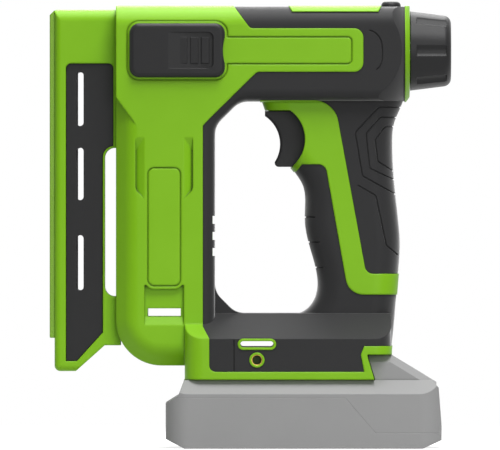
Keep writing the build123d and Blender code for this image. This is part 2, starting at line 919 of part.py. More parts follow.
with BuildPart() as front_bumper:
    bumper_half = blade_half_width + bumper_margin
    box_between(
        (bumper_x, -bumper_half, axis_z - bulkhead_below),
        (bumper_x + bumper_thickness, bumper_half, axis_z + bulkhead_below),
    )
    box_between(
        (bumper_x, -slot[0], axis_z - slot[1]),
        (bumper_x + bumper_thickness, slot[0], axis_z + slot[1]),
        mode=Mode.SUBTRACT,
    )
    corner_edges = front_bumper.edges().filter_by(Axis.X).sort_by_distance(Vertex(bumper_x, 0, axis_z))[-4:]
    fillet(corner_edges, bumper_thickness)
front_bumper.part.label = "front_bumper"
export_step(front_bumper.part, "parts/front_bumper.step")

with BuildPart() as middle_bulkhead:
    bulkhead(rod_rear_x - bulkhead_thickness, bulkhead_thickness)
    middle_x = rod_rear_x - bulkhead_thickness
    box_between(
        (middle_x, -spring_radius - play, axis_z - bulkhead_below),
        (rod_rear_x, spring_radius + play, axis_z),
        mode=Mode.SUBTRACT,
    )
    round_bar((middle_x, 0, axis_z), (1, 0, 0), bulkhead_thickness, spring_radius + play, Mode.SUBTRACT)
middle_bulkhead.part.label = "middle_bulkhead"
export_step(middle_bulkhead.part, "parts/middle_bulkhead.step")

with BuildPart() as guide_rods:
    for side in (-1, 1):
        round_bar((body_inner_x, side * rod_spread, rod_z), (1, 0, 0), rod_length, rod_radius)
guide_rods.part.label = "guide_rods"
export_step(guide_rods.part, "parts/guide_rods.step")

with BuildPart() as hammer_carriage:
    box_between(
        (carriage_front_x, -carriage_half_width, carriage_bottom_z),
        (carriage_rear_x, carriage_half_width, axis_z + carriage_above),
    )
    chamfer(hammer_carriage.edges().filter_by(Axis.X), carriage_bevel)
    for side in (-1, 1):
        round_bar(
            (carriage_front_x, side * rod_spread, rod_z),
            (1, 0, 0),
            carriage_length,
            rod_radius + running,
            Mode.SUBTRACT,
        )
    box_between(
        (carriage_front_x, -blade_half_width, axis_z - blade_thickness / 2),
        (carriage_front_x + blade_seat, blade_half_width, axis_z + blade_thickness / 2),
        mode=Mode.SUBTRACT,
    )
    round_bar(
        (carriage_rear_x - pocket_depth, 0, axis_z),
        (1, 0, 0),
        pocket_depth,
        spring_radius + play,
        Mode.SUBTRACT,
    )
    rack_pitch = pi * rack_module
    rack_front_x = motor_x - (sector_teeth - 1) * rack_pitch
    rack_rear_x = motor_x + rack_pitch
    box_between(
        (rack_front_x, rack_root_y, rack_low_z), (rack_rear_x, rack_back_y, rack_low_z + rack_height)
    )
    box_between(
        (carriage_front_x, rack_root_y, rack_low_z),
        (rack_rear_x, rack_back_y, carriage_bottom_z + rack_root),
    )
    with BuildSketch(Plane.XY.offset(rack_low_z)):
        half_pitch = rack_pitch / 4 - backlash / 2
        tip_half = half_pitch - tooth_reach * rack_module * tan(pressure_angle)
        root_half = half_pitch + tooth_depth * rack_module * tan(pressure_angle)
        tip_y = sector_pitch - tooth_reach * rack_module
        for count in range(sector_teeth):
            tooth_x = motor_x + rack_pitch / 2 - count * rack_pitch
            with BuildLine():
                Polyline(
                    (tooth_x - root_half, rack_root_y),
                    (tooth_x - tip_half, tip_y),
                    (tooth_x + tip_half, tip_y),
                    (tooth_x + root_half, rack_root_y),
                    close=True,
                )
            make_face()
    extrude(amount=rack_height)
hammer_carriage.part.label = "hammer_carriage"
export_step(hammer_carriage.part, "parts/hammer_carriage.step")

with BuildPart() as driver_blade:
    box_between(
        (blade_tip_x, -blade_half_width, axis_z - blade_thickness / 2),
        (carriage_front_x + blade_seat, blade_half_width, axis_z + blade_thickness / 2),
    )
driver_blade.part.label = "driver_blade"
export_step(driver_blade.part, "parts/driver_blade.step")

with BuildPart() as drive_spring:
    spring_front_x = carriage_rear_x - pocket_depth
    round_bar((spring_front_x, 0, axis_z), (1, 0, 0), seat_x - spring_front_x, spring_radius)
    spring_inner = spring_radius - spring_wall
    round_bar((spring_front_x, 0, axis_z), (1, 0, 0), seat_x - spring_front_x, spring_inner, Mode.SUBTRACT)
drive_spring.part.label = "drive_spring"
export_step(drive_spring.part, "parts/drive_spring.step")

with BuildPart() as spring_seat:
    box_between(
        (seat_x, -seat_half_width, axis_z - seat_half_width),
        (seat_x + seat_thickness, seat_half_width, axis_z + seat_half_width),
    )
    chamfer(spring_seat.edges().filter_by(Axis.X), seat_bevel)
    round_bar((seat_x, 0, axis_z), (1, 0, 0), seat_thickness, spindle_radius + running, Mode.SUBTRACT)
spring_seat.part.label = "spring_seat"
export_step(spring_seat.part, "parts/spring_seat.step")

with BuildPart() as rear_bulkhead:
    box_between(
        (rear_bulkhead_x, -bulkhead_half_width, axis_z - bulkhead_above),
        (rear_bulkhead_x + rear_bulkhead_thickness, bulkhead_half_width, axis_z + bulkhead_above),
    )
    chamfer(rear_bulkhead.edges().filter_by(Axis.X), rear_bulkhead_bevel)
    round_bar(
        (rear_bulkhead_x, 0, axis_z),
        (1, 0, 0),
        rear_bulkhead_thickness,
        spindle_radius + running,
        Mode.SUBTRACT,
    )
rear_bulkhead.part.label = "rear_bulkhead"
export_step(rear_bulkhead.part, "parts/rear_bulkhead.step")

# Power dial
dial_radius = 17.8
dial_end_radius = 15.5
dial_round = 3.6
flute_count = 7
flute_radius = 4.0
flute_lead = 3.2
flute_tail = 1.8
flute_lift = 3.0
spindle_seat = 12.0

dial_front_x = barrel_rear_x + play

with BuildPart() as dial_spindle:
    spindle_front_x = seat_x - preload_travel
    round_bar(
        (spindle_front_x, 0, axis_z), (1, 0, 0), dial_front_x + spindle_seat - spindle_front_x, spindle_radius
    )
    round_bar(
        (rear_bulkhead_x - collar_thickness - play, 0, axis_z), (1, 0, 0), collar_thickness, collar_radius
    )
dial_spindle.part.label = "dial_spindle"
export_step(dial_spindle.part, "parts/dial_spindle.step")

with BuildPart() as power_dial:
    with BuildSketch(Plane.XZ) as half_dial:
        with BuildLine():
            Polyline(
                (dial_front_x, axis_z),
                (dial_front_x, axis_z + dial_radius),
                (dial_rear_x, axis_z + dial_end_radius),
                (dial_rear_x, axis_z),
                close=True,
            )
        make_face()
        fillet(corners_at(half_dial, (dial_rear_x, axis_z + dial_end_radius)), dial_round)
    revolve(axis=axis_line)
    taper = (dial_radius - dial_end_radius) / (dial_rear_x - dial_front_x)
    flute_from_axis = dial_radius + flute_lift - taper * flute_lead
    for count in range(flute_count):
        turn = 2 * pi * count / flute_count
        outward = Vector(0, -cos(turn), sin(turn))
        flute_start = Vector(dial_front_x + flute_lead, 0, axis_z) + outward * flute_from_axis
        along = Vector(1, 0, 0) - outward * taper
        round_bar(
            flute_start, along, dial_length - flute_lead - flute_tail, flute_radius, Mode.SUBTRACT
        )
    round_bar((dial_front_x, 0, axis_z), (1, 0, 0), spindle_seat, spindle_radius, Mode.SUBTRACT)
power_dial.part.label = "power_dial"
export_step(power_dial.part, "parts/power_dial.step")


# Magazine
channel_half = 6.2
channel_wall = 1.0
channel_gap = 0.1
nose_lift = 1.1
nose_height_block = 7.0
channel_foot = 12.0
rail_depth = 6.8
rail_half = 4.6
rail_lead = 0.5
rail_short = 0.9
cap_height = 9.4
cap_half = 6.0
push_rod_radius = 1.2
push_rod_inset = 3.8
push_spring_radius = 2.4
push_spring_wall = 0.8
pusher_height = 7.5
pusher_rise = 0.5
pusher_cheek = 1.2
cover_flange_gap = 0.2
cover_flange_grow = 0.5
cover_panel_recess = 1.4
window_lead = 9.9
window_length = 3.1
window_lifts = [88.4, 54.8, 15.0]
window_spans = [24.2, 23.5, 24.7]
panel_lead_x = 5.2
panel_top_drop = 24.2
panel_bottom_lift = 4.6
panel_rear_gap = 1.3
panel_knee_lift = 5.8
panel_toe_lead = 10.0
panel_corner_round = 2.2
gap_rim = 0.9
plate_half_width = 10.4
plate_foot = 14.9
plate_head = 0.4
plate_edge_round = 0.6
plate_top_bevel = 2.0
exit_half_height = 1.0

channel_front_x = column_front_x + wall + channel_gap
channel_rear_x = gap_front_x - wall - channel_gap
channel_bottom_z = column_bottom_z + channel_foot + wall
channel_top_z = axis_z - nose_lift
rail_front_x = channel_front_x + rail_lead
rail_rear_x = rail_front_x + rail_depth
cap_bottom_z = column_bottom_z + slide_gap
cap_top_z = cap_bottom_z + cap_height
rail_top_z = channel_top_z - rail_short
push_rod_x = channel_rear_x - push_rod_inset
pusher_bottom_z = rail_top_z + pusher_rise - pusher_height
window_x = column_front_x + window_lead
panel_front_edge = column_front_x + panel_lead_x
panel_rear_edge = body_front_x - panel_rear_gap
panel_top_edge = column_top_z - panel_top_drop
panel_bottom_edge = column_bottom_z + panel_bottom_lift
step_z = gap_bottom_z + gap_height - gap_round


def cover_outline(grow):
    """The outline of the black magazine cover, or a larger one around it."""
    narrow_x = gap_front_x - gap_rim
    corners = [(panel_front_edge, panel_top_edge), (panel_rear_edge, panel_top_edge)]
    with BuildSketch(Plane.XZ) as outline:
        with BuildLine():
            Polyline(
                *corners,
                (panel_rear_edge, step_z),
                (narrow_x, step_z),
                (narrow_x, bridge_z + panel_knee_lift),
                (column_front_x + panel_toe_lead, panel_bottom_edge),
                (panel_front_edge, panel_bottom_edge),
                close=True,
            )
        make_face()
        fillet(corners_at(outline, *corners), panel_corner_round)
        with Locations((gap_front_x + gap_round, step_z)):
            Circle(gap_round + gap_rim, mode=Mode.SUBTRACT)
        if grow:
            offset(amount=grow, kind=Kind.INTERSECTION)
    return outline.sketch


def windows(half_width):
    """Three long see-through windows with round ends, across the magazine."""
    for lift, span in zip(window_lifts, window_spans):
        with BuildSketch(Plane.XZ) as window:
            with Locations((window_x + window_length / 2, gap_bottom_z + lift)):
                SlotOverall(span, window_length, rotation=90)
        extrude(window.sketch, amount=half_width, both=True, mode=Mode.SUBTRACT)


column_cavity = column_form(wall + channel_gap)
cover_outer_y = column_half_width - cover_panel_recess
flange_outer_y = column_half_width - wall - channel_gap
flange_inner_y = channel_half + channel_wall + cover_flange_gap

for side, sign in (("left", -1), ("right", 1)):
    with BuildPart() as flange:
        extrude(cover_outline(cover_flange_grow), amount=-sign * flange_outer_y)
        add(column_cavity, mode=Mode.INTERSECT)
    with BuildPart() as magazine_cover:
        extrude(cover_outline(0), amount=-sign * cover_outer_y)
        box_between((-far, -flange_outer_y, -far), (far, flange_outer_y, far), mode=Mode.SUBTRACT)
        add(flange.part)
        windows(far)
        box_between((-far, -flange_inner_y, -far), (far, flange_inner_y, far), mode=Mode.SUBTRACT)
    magazine_cover.part.label = "magazine_cover_" + side
    export_step(magazine_cover.part, "parts/magazine_cover_" + side + ".step")

with BuildPart() as magazine_channel:
    outer = channel_half + channel_wall
    box_between((channel_front_x, -outer, channel_bottom_z), (channel_rear_x, outer, channel_top_z))
    box_between(
        (channel_front_x, -channel_half, channel_bottom_z),
        (channel_rear_x - channel_wall, channel_half, channel_top_z),
        mode=Mode.SUBTRACT,
    )
    windows(far)
magazine_channel.part.label = "magazine_channel"
export_step(magazine_channel.part, "parts/magazine_channel.step")

with BuildPart() as nose_block:
    box_between(
        (channel_front_x, -flange_inner_y, channel_top_z),
        (channel_rear_x, flange_inner_y, channel_top_z + nose_height_block),
    )
    box_between(
        (channel_front_x, -slot[0], axis_z - slot[1]),
        (channel_rear_x, slot[0], axis_z + slot[1]),
        mode=Mode.SUBTRACT,
    )
nose_block.part.label = "nose_block"
export_step(nose_block.part, "parts/nose_block.step")

with BuildPart() as front_plate:
    box_between(
        (front_x, -plate_half_width, column_bottom_z + plate_foot),
        (column_front_x, plate_half_width, column_top_z - plate_head),
    )
    outer_edges = front_plate.faces().sort_by(Axis.X)[0].edges().sort_by(Axis.Z)
    chamfer(outer_edges[-1], plate_top_bevel)
    front_edges = front_plate.faces().sort_by(Axis.X)[0].edges()
    fillet(front_edges, plate_edge_round)
    box_between(
        (front_x, -slot[0], axis_z - exit_half_height), (column_front_x, slot[0], axis_z + exit_half_height),
        mode=Mode.SUBTRACT,
    )
front_plate.part.label = "front_plate"
export_step(front_plate.part, "parts/front_plate.step")

with BuildPart() as rail_end_cap:
    with BuildSketch(Plane.XZ):
        with BuildLine():
            Polyline(
                (rail_front_x, cap_bottom_z),
                (column_front_x + toe_length - slide_gap, cap_bottom_z),
                (channel_rear_x - channel_wall - play, cap_top_z - slide_gap),
                (channel_rear_x - channel_wall - play, cap_top_z + wall),
                (rail_front_x, cap_top_z + wall),
                close=True,
            )
        make_face()
    extrude(amount=cap_half, both=True)
rail_end_cap.part.label = "rail_end_cap"
export_step(rail_end_cap.part, "parts/rail_end_cap.step")

rail_bottom_z = cap_top_z + wall

with BuildPart() as staple_rail:
    box_between((rail_front_x, -rail_half, rail_bottom_z), (rail_rear_x, rail_half, rail_top_z))
    fillet(staple_rail.edges().filter_by(Axis.Z), channel_wall)
staple_rail.part.label = "staple_rail"
export_step(staple_rail.part, "parts/staple_rail.step")

with BuildPart() as pusher_guide_rod:
    round_bar((push_rod_x, 0, rail_bottom_z), (0, 0, 1), rail_top_z - rail_bottom_z, push_rod_radius)
pusher_guide_rod.part.label = "pusher_guide_rod"
export_step(pusher_guide_rod.part, "parts/pusher_guide_rod.step")

with BuildPart() as staple_pusher:
    cheek_inner = rail_half + fit_gap
    block_rear_x = channel_rear_x - channel_wall - play
    box_between(
        (rail_front_x + rail_lead, -cheek_inner - pusher_cheek, pusher_bottom_z),
        (block_rear_x, cheek_inner + pusher_cheek, pusher_bottom_z + pusher_height),
    )
    box_between(
        (rail_front_x, -cheek_inner, pusher_bottom_z),
        (rail_rear_x + play, cheek_inner, pusher_bottom_z + pusher_height),
        mode=Mode.SUBTRACT,
    )
    round_bar(
        (push_rod_x, 0, pusher_bottom_z), (0, 0, 1), pusher_height, push_rod_radius + running, Mode.SUBTRACT
    )
staple_pusher.part.label = "staple_pusher"
export_step(staple_pusher.part, "parts/staple_pusher.step")

with BuildPart() as pusher_spring:
    spring_length = pusher_bottom_z - rail_bottom_z
    round_bar((push_rod_x, 0, rail_bottom_z), (0, 0, 1), spring_length, push_spring_radius)
    spring_inner = push_spring_radius - push_spring_wall
    round_bar((push_rod_x, 0, rail_bottom_z), (0, 0, 1), spring_length, spring_inner, Mode.SUBTRACT)
pusher_spring.part.label = "pusher_spring"
export_step(pusher_spring.part, "parts/pusher_spring.step")

# Release slider on the side of the barrel
slider_lead = 6.1
slider_length = 42.7
slider_lift = 10.8
slider_height = 24.2
slider_proud = 3.0
slider_round = 4.4
slider_edge = 0.9
slider_face_round = 2.0
slider_travel = 8.0
stem_length = 5.0
stem_height = 5.0
retainer_length = 13.0
retainer_height = 12.0
retainer_thickness = 1.5
pad_lead = 17.3
pad_length = 20.2
pad_height = 16.2
pad_depth = 1.7
pad_round = 2.4
ridge_count = 3
ridge_pitch = 4.9
ridge_length = 3.4
ridge_height = 11.7
ridge_tail = 1.9
slider_notch_radius = 20.0
slider_notch_setback = 19.1

slider_front_x = body_front_x + slider_lead
slider_rear_x = slider_front_x + slider_length
slider_bottom_z = barrel_bottom_z + slider_lift
slider_top_z = slider_bottom_z + slider_height
slider_middle_x = (slider_front_x + slider_rear_x) / 2
slider_middle_z = (slider_bottom_z + slider_top_z) / 2
slider_under_y = -body_half_width - play
slider_face_y = slider_under_y - slider_proud
stem_x = slider_middle_x - stem_length
retainer_y = -body_half_width + wall + play

with BuildPart() as slider_pad:
    pad_front_x = slider_front_x + pad_lead
    pad_rear_x = pad_front_x + pad_length
    with BuildSketch(Plane.XY.offset(slider_middle_z)):
        with BuildLine():
            Polyline(
                (pad_front_x - slider_edge, slider_face_y - slider_edge),
                (pad_front_x, slider_face_y),
                (pad_rear_x, slider_face_y + pad_depth),
                (pad_rear_x, slider_face_y - slider_edge),
                close=True,
            )
        make_face()
    extrude(amount=pad_height / 2, both=True)
    fillet(slider_pad.faces().sort_by(Axis.X)[-1].edges().filter_by(Axis.Y), pad_round)

with BuildPart() as release_slider:
    with BuildSketch(Plane.XZ.offset(-slider_under_y)):
        with Locations((slider_middle_x, slider_middle_z)):
            RectangleRounded(slider_length, slider_height, slider_round)
    extrude(amount=slider_proud)
    fillet(release_slider.faces().sort_by(Axis.Y)[0].edges(), slider_face_round)
    add(slider_pad.part, mode=Mode.SUBTRACT)
    for count in range(ridge_count):
        ridge_x = pad_rear_x - ridge_tail - ridge_length - count * ridge_pitch
        box_between(
            (ridge_x, slider_face_y + slider_edge / 2, slider_middle_z - ridge_height / 2),
            (ridge_x + ridge_length, slider_under_y, slider_middle_z + ridge_height / 2),
        )
    round_bar(
        (slider_rear_x + slider_notch_setback, slider_face_y, slider_middle_z),
        (0, 1, 0),
        slider_proud,
        slider_notch_radius,
        Mode.SUBTRACT,
    )
    box_between(
        (stem_x, slider_under_y, slider_middle_z - stem_height / 2),
        (stem_x + stem_length, retainer_y, slider_middle_z + stem_height / 2),
    )
release_slider.part.label = "release_slider"
export_step(release_slider.part, "parts/release_slider.step")

with BuildPart() as slider_retainer:
    retainer_x = stem_x + stem_length / 2 - retainer_length / 2
    box_between(
        (retainer_x, retainer_y, slider_middle_z - retainer_height / 2),
        (
            retainer_x + retainer_length,
            retainer_y + retainer_thickness,
            slider_middle_z + retainer_height / 2,
        ),
    )
slider_retainer.part.label = "slider_retainer"
export_step(slider_retainer.part, "parts/slider_retainer.step")

# Trigger and its switch
trigger_half_width = 9.0
trigger_travel = 5.0
trigger_front = 17.5
trigger_block = 22.1
trigger_round = 1.2
trigger_lip = 2.2
trigger_hollow = 6.6
trigger_chin = 4.4
guide_half = 1.5
guide_depth = 1.0
chin_round = 1.8
finger_edge_shortest = 20.0
lug_thickness = 2.0
lug_half_width = 11.5
lug_height = 14.0
stem_half = 3.0
stem_reach = 13.4
switch_gap = 6.4
switch_length = 22.0
switch_half_width = 8.0
switch_height = 24.0
trigger_spring_inner = 4.4
trigger_spring_wall = 1.2

trigger_tip_x = waist_x - trigger_front
trigger_back_x = trigger_tip_x + trigger_block
lug_rear_x = trigger_back_x + lug_thickness
stem_z = (trigger_top_z + trigger_bottom_z) / 2
stem_end_x = lug_rear_x + stem_reach
switch_x = lug_rear_x + switch_gap

with BuildPart() as trigger:
    top_z = trigger_top_z - play
    low_z = trigger_bottom_z + play
    chin = (trigger_tip_x + trigger_chin, low_z)
    with BuildSketch(Plane.XZ) as outline:
        with BuildLine():
            finger = ThreePointArc(
                (trigger_tip_x, top_z - trigger_lip),
                (trigger_tip_x + trigger_hollow, stem_z),
                (trigger_tip_x + trigger_chin, low_z + trigger_lip),
            )
            Polyline(
                finger @ 1,
                chin,
                (trigger_back_x, low_z),
                (trigger_back_x, top_z),
                (trigger_tip_x, top_z),
                finger @ 0,
            )
        make_face()
        fillet(corners_at(outline, chin), chin_round)
    extrude(amount=trigger_half_width, both=True)
    arcs = side_edges(trigger, trigger_half_width).filter_by(GeomType.CIRCLE)
    fillet(arcs.filter_by(lambda e: e.length > finger_edge_shortest), trigger_round)
    box_between(
        (trigger_back_x, -lug_half_width, stem_z - lug_height / 2),
        (lug_rear_x, lug_half_width, stem_z + lug_height / 2),
    )
    box_between((lug_rear_x, -stem_half, stem_z - stem_half), (stem_end_x, stem_half, stem_z + stem_half))
    box_between(
        (trigger_tip_x, -guide_half - play, trigger_top_z - guide_depth - play),
        (trigger_back_x, guide_half + play, trigger_top_z),
        mode=Mode.SUBTRACT,
    )
trigger.part.label = "trigger"
export_step(trigger.part, "parts/trigger.step")

with BuildPart() as trigger_switch:
    switch_rear_x = switch_x + switch_length
    box_between(
        (switch_x, -switch_half_width, stem_z - switch_height / 2),
        (switch_rear_x, switch_half_width, stem_z + switch_height / 2),
    )
    fillet(trigger_switch.edges().filter_by(Axis.Y), trigger_round)
    hole_half = stem_half + fit_gap
    box_between(
        (switch_x, -hole_half, stem_z - hole_half),
        (stem_end_x + trigger_travel + play, hole_half, stem_z + hole_half),
        mode=Mode.SUBTRACT,
    )
trigger_switch.part.label = "trigger_switch"
export_step(trigger_switch.part, "parts/trigger_switch.step")

with BuildPart() as trigger_spring:
    outer = trigger_spring_inner + trigger_spring_wall
    round_bar((lug_rear_x, 0, stem_z), (1, 0, 0), switch_gap, outer)
    round_bar((lug_rear_x, 0, stem_z), (1, 0, 0), switch_gap, trigger_spring_inner, Mode.SUBTRACT)
trigger_spring.part.label = "trigger_spring"
export_step(trigger_spring.part, "parts/trigger_spring.step")

# Lock button on top of the barrel
button_lead = 8.3
button_radius = 4.4
button_proud = 2.1
button_dome = 1.9
button_flange = 0.6
button_spring_radius = 3.3
button_spring_wall = 1.1
button_flange_height = 1.5
button_stem = 3.1
shelf_thickness = 1.6
shelf_half_length = 4.2

button_x = barrel_rear_x - button_lead
button_peak_z = barrel_top_z + button_proud
button_flange_z = barrel_top_z - wall - button_stem
shelf_bottom_z = axis_z + spindle_radius + play + fit_gap
shelf_top_z = shelf_bottom_z + shelf_thickness

with BuildPart() as lock_button:
    round_bar((button_x, 0, button_flange_z), (0, 0, 1), button_peak_z - button_flange_z, button_radius)
    fillet(lock_button.edges().sort_by(Axis.Z)[-1], button_dome)
    round_bar((button_x, 0, button_flange_z), (0, 0, 1), button_flange_height, button_radius + button_flange)
lock_button.part.label = "lock_button"
export_step(lock_button.part, "parts/lock_button.step")

with BuildPart() as lock_button_spring:
    button_spring_height = button_flange_z - shelf_top_z
    round_bar((button_x, 0, shelf_top_z), (0, 0, 1), button_spring_height, button_spring_radius)
    button_spring_inner = button_spring_radius - button_spring_wall
    round_bar((button_x, 0, shelf_top_z), (0, 0, 1), button_spring_height, button_spring_inner, Mode.SUBTRACT)
lock_button_spring.part.label = "lock_button_spring"
export_step(lock_button_spring.part, "parts/lock_button_spring.step")

# Battery pack
pack_front_lead = 8.5
pack_length = 123.4
pack_wall = 2.5
pack_seam = 22.6
pack_seam_low = 7.0
pack_dip_lead = 43.1
pack_dip_length = 13.5
pack_round = 10.0
pack_shoulder = 6.2
pack_front_top = 2.9
pack_front_bevel = 7.0
pack_front_drop = 10.4
pack_front_foot_rise = 4.3
pack_front_foot = 8.5
pack_rear_foot = 8.7
pack_rear_foot_rise = 3.8
pack_rear_lean_rise = 9.7
pack_rear_lean = 1.4
pack_rear_bevel = 3.4
pack_rear_top = 4.2
cell_radius = 9.1
cell_length = 65.0
cell_count = 6
cell_pitch = 18.8
neck_half = 23.2
head_half = 26.0
head_height = 3.6
block_half = 20.0
block_lead = 14.0
hump_half = 30.0
hump_round = 3.0
blade_count = 4
blade_pitch = 8.0
blade_slot = 1.8
blade_slot_floor = 1.0
blade_end_gap = 1.0
terminal_blade_length = 9.0
terminal_blade_width = 0.8
terminal_blade_height = 5.0
latch_half_width = 8.0
latch_length = 9.0
latch_floor = 2.0
latch_spring_height = 4.6
latch_spring_radius = 3.0
latch_drop = 0.3
hump_tail = 2.4
hump_tail_drop = 0.9
hump_sink = 5.0
latch_edge = 0.4
contact_thickness = 0.6

pack_front_x = base_front_x - pack_front_lead
pack_rear_x = pack_front_x + pack_length
block_front_x = base_front_x + block_lead
head_bottom_z = base_bottom_z + wall + play
head_top_z = head_bottom_z + head_height
hump_top_z = grip_bottom_z - play
hump_front_x = base_rear_x + play
cell_z = pack_wall + play + cell_radius
cells_x = (pack_front_x + pack_rear_x) / 2
blade_ys = [(count - (blade_count - 1) / 2) * blade_pitch for count in range(blade_count)]
slot_bottom_z = head_bottom_z + blade_slot_floor


def pack_form(inset):
    """The outside of the pack below its top deck, or the surface that lies deeper by the inset."""
    half = pack_half_width - inset
    with BuildPart() as form:
        with BuildSketch(Plane.XZ) as outline:
            with BuildLine():
                Polyline(
                    (base_front_x - play, pack_height),
                    (base_front_x - pack_front_top, pack_height - pack_front_bevel),
                    (pack_front_x, pack_height - pack_front_drop),
                    (pack_front_x, pack_front_foot_rise),
                    (pack_front_x + pack_front_foot, 0),
                    (pack_rear_x - pack_rear_foot, 0),
                    (pack_rear_x, pack_rear_foot_rise),
                    (pack_rear_x, pack_rear_lean_rise),
                    (pack_rear_x - pack_rear_lean, pack_height - pack_rear_bevel),
                    (pack_rear_x - pack_rear_top, pack_height),
                    close=True,
                )
            make_face()
            if inset:
                offset(amount=-inset, kind=Kind.INTERSECTION)
        extrude(amount=half, both=True)
        top = side_edges(form, half).group_by(Axis.Z)[-1]
        chamfer(top, pack_shoulder - inset * (2 - 2 ** 0.5))
        with BuildSketch(Plane.XY):
            with Locations((cells_x, 0)):
                RectangleRounded(pack_length - 2 * inset, 2 * half, pack_round - inset)
        extrude(amount=pack_height, mode=Mode.INTERSECT)
    return form.part


with BuildPart() as pack_hollow:
    add(pack_form(0))
    add(pack_form(pack_wall), mode=Mode.SUBTRACT)

# The two cases meet on a line that dips towards the rear
with BuildPart() as below_seam:
    dip_x = pack_rear_x - pack_dip_lead
    with BuildSketch(Plane.XZ):
        with BuildLine():
            Polyline(
                (-far, -far),
                (-far, pack_seam),
                (dip_x, pack_seam),
                (dip_x + pack_dip_length, pack_seam_low),
                (far, pack_seam_low),
                (far, -far),
                close=True,
            )
        make_face()
    extrude(amount=far, both=True)

with BuildPart() as battery_case_lower:
    add(pack_hollow.part)
    add(below_seam.part, mode=Mode.INTERSECT)
battery_case_lower.part.label = "battery_case_lower"
export_step(battery_case_lower.part, "parts/battery_case_lower.step")

crest_x = grip_rear_x - grip_tail_setback
slope_foot_x = pack_rear_x - hump_tail
slope_foot_z = pack_height - hump_tail_drop
hump_floor_z = pack_height - pack_wall - hump_sink
latch_floor_z = hump_floor_z + latch_floor
latch_low_z = latch_floor_z + latch_spring_height
latch_x = (crest_x + slope_foot_x - latch_length) / 2


def slope_z(x):
    """The height of the pack's sloping rear deck."""
    return hump_top_z - (x - crest_x) * (hump_top_z - slope_foot_z) / (slope_foot_x - crest_x)


with BuildPart() as pack_hump:
    with BuildSketch(Plane.XZ):
        with BuildLine():
            Polyline(
                (hump_front_x + base_rear_lean, hump_floor_z),
                (hump_front_x + base_rear_lean, base_bottom_z),
                (hump_front_x, base_bottom_z + base_rear_height),
                (hump_front_x, hump_top_z),
                (crest_x, hump_top_z),
                (slope_foot_x, slope_foot_z),
                (slope_foot_x, hump_floor_z),
                close=True,
            )
        make_face()
    extrude(amount=hump_half, both=True)
    crest = side_edges(pack_hump, hump_half).filter_by(lambda e: e.center().X > hump_front_x + hump_round)
    chamfer(crest.filter_by(lambda e: e.center().Z > base_bottom_z), hump_round)

with BuildPart() as battery_case_upper:
    add(pack_hollow.part)
    add(below_seam.part, mode=Mode.SUBTRACT)
    add(pack_hump.part)
    rail_end_x = hump_front_x + base_rear_lean + pack_wall
    neck_top_z = head_bottom_z + fit_gap
    box_between((block_front_x, -neck_half, pack_height - pack_wall), (rail_end_x, neck_half, neck_top_z))
    box_between((block_front_x, -head_half, head_bottom_z), (rail_end_x, head_half, head_top_z))
    box_between((block_front_x, -block_half, head_bottom_z), (rail_end_x, block_half, hump_top_z))
    for blade_y in blade_ys:
        box_between(
            (block_front_x, blade_y - blade_slot / 2, slot_bottom_z),
            (block_front_x + terminal_blade_length + blade_end_gap, blade_y + blade_slot / 2, hump_top_z),
            mode=Mode.SUBTRACT,
        )
    box_between(
        (latch_x - play, -latch_half_width - play, latch_floor_z),
        (latch_x + latch_length + play, latch_half_width + play, hump_top_z + wall),
        mode=Mode.SUBTRACT,
    )
battery_case_upper.part.label = "battery_case_upper"
export_step(battery_case_upper.part, "parts/battery_case_upper.step")

with BuildPart() as battery_cells:
    for count in range(cell_count):
        cell_x = cells_x + (count - (cell_count - 1) / 2) * cell_pitch
        round_bar((cell_x, -cell_length / 2, cell_z), (0, 1, 0), cell_length, cell_radius)
battery_cells.part.label = "battery_cells"
export_step(battery_cells.part, "parts/battery_cells.step")

with BuildPart() as battery_contacts:
    for blade_y in blade_ys:
        box_between(
            (block_front_x + blade_end_gap, blade_y - blade_slot / 2, slot_bottom_z),
            (
                block_front_x + terminal_blade_length,
                blade_y + blade_slot / 2,
                slot_bottom_z + contact_thickness,
            ),
        )
battery_contacts.part.label = "battery_contacts"
export_step(battery_contacts.part, "parts/battery_contacts.step")

with BuildPart() as battery_latch:
    with BuildSketch(Plane.XZ):
        with BuildLine():
            Polyline(
                (latch_x, latch_low_z),
                (latch_x, slope_z(latch_x) - latch_drop),
                (latch_x + latch_length, slope_z(latch_x + latch_length) - latch_drop),
                (latch_x + latch_length, latch_low_z),
                close=True,
            )
        make_face()
    extrude(amount=latch_half_width, both=True)
    fillet(battery_latch.faces().sort_by(Axis.Z)[-1].edges(), latch_edge)
battery_latch.part.label = "battery_latch"
export_step(battery_latch.part, "parts/battery_latch.step")

with BuildPart() as battery_latch_spring:
    latch_spring_x = latch_x + latch_length / 2
    round_bar((latch_spring_x, 0, latch_floor_z), (0, 0, 1), latch_spring_height, latch_spring_radius)
    round_bar(
        (latch_spring_x, 0, latch_floor_z),
        (0, 0, 1),
        latch_spring_height,
        latch_spring_radius - contact_thickness,
        Mode.SUBTRACT,
    )
battery_latch_spring.part.label = "battery_latch_spring"
export_step(battery_latch_spring.part, "parts/battery_latch_spring.step")

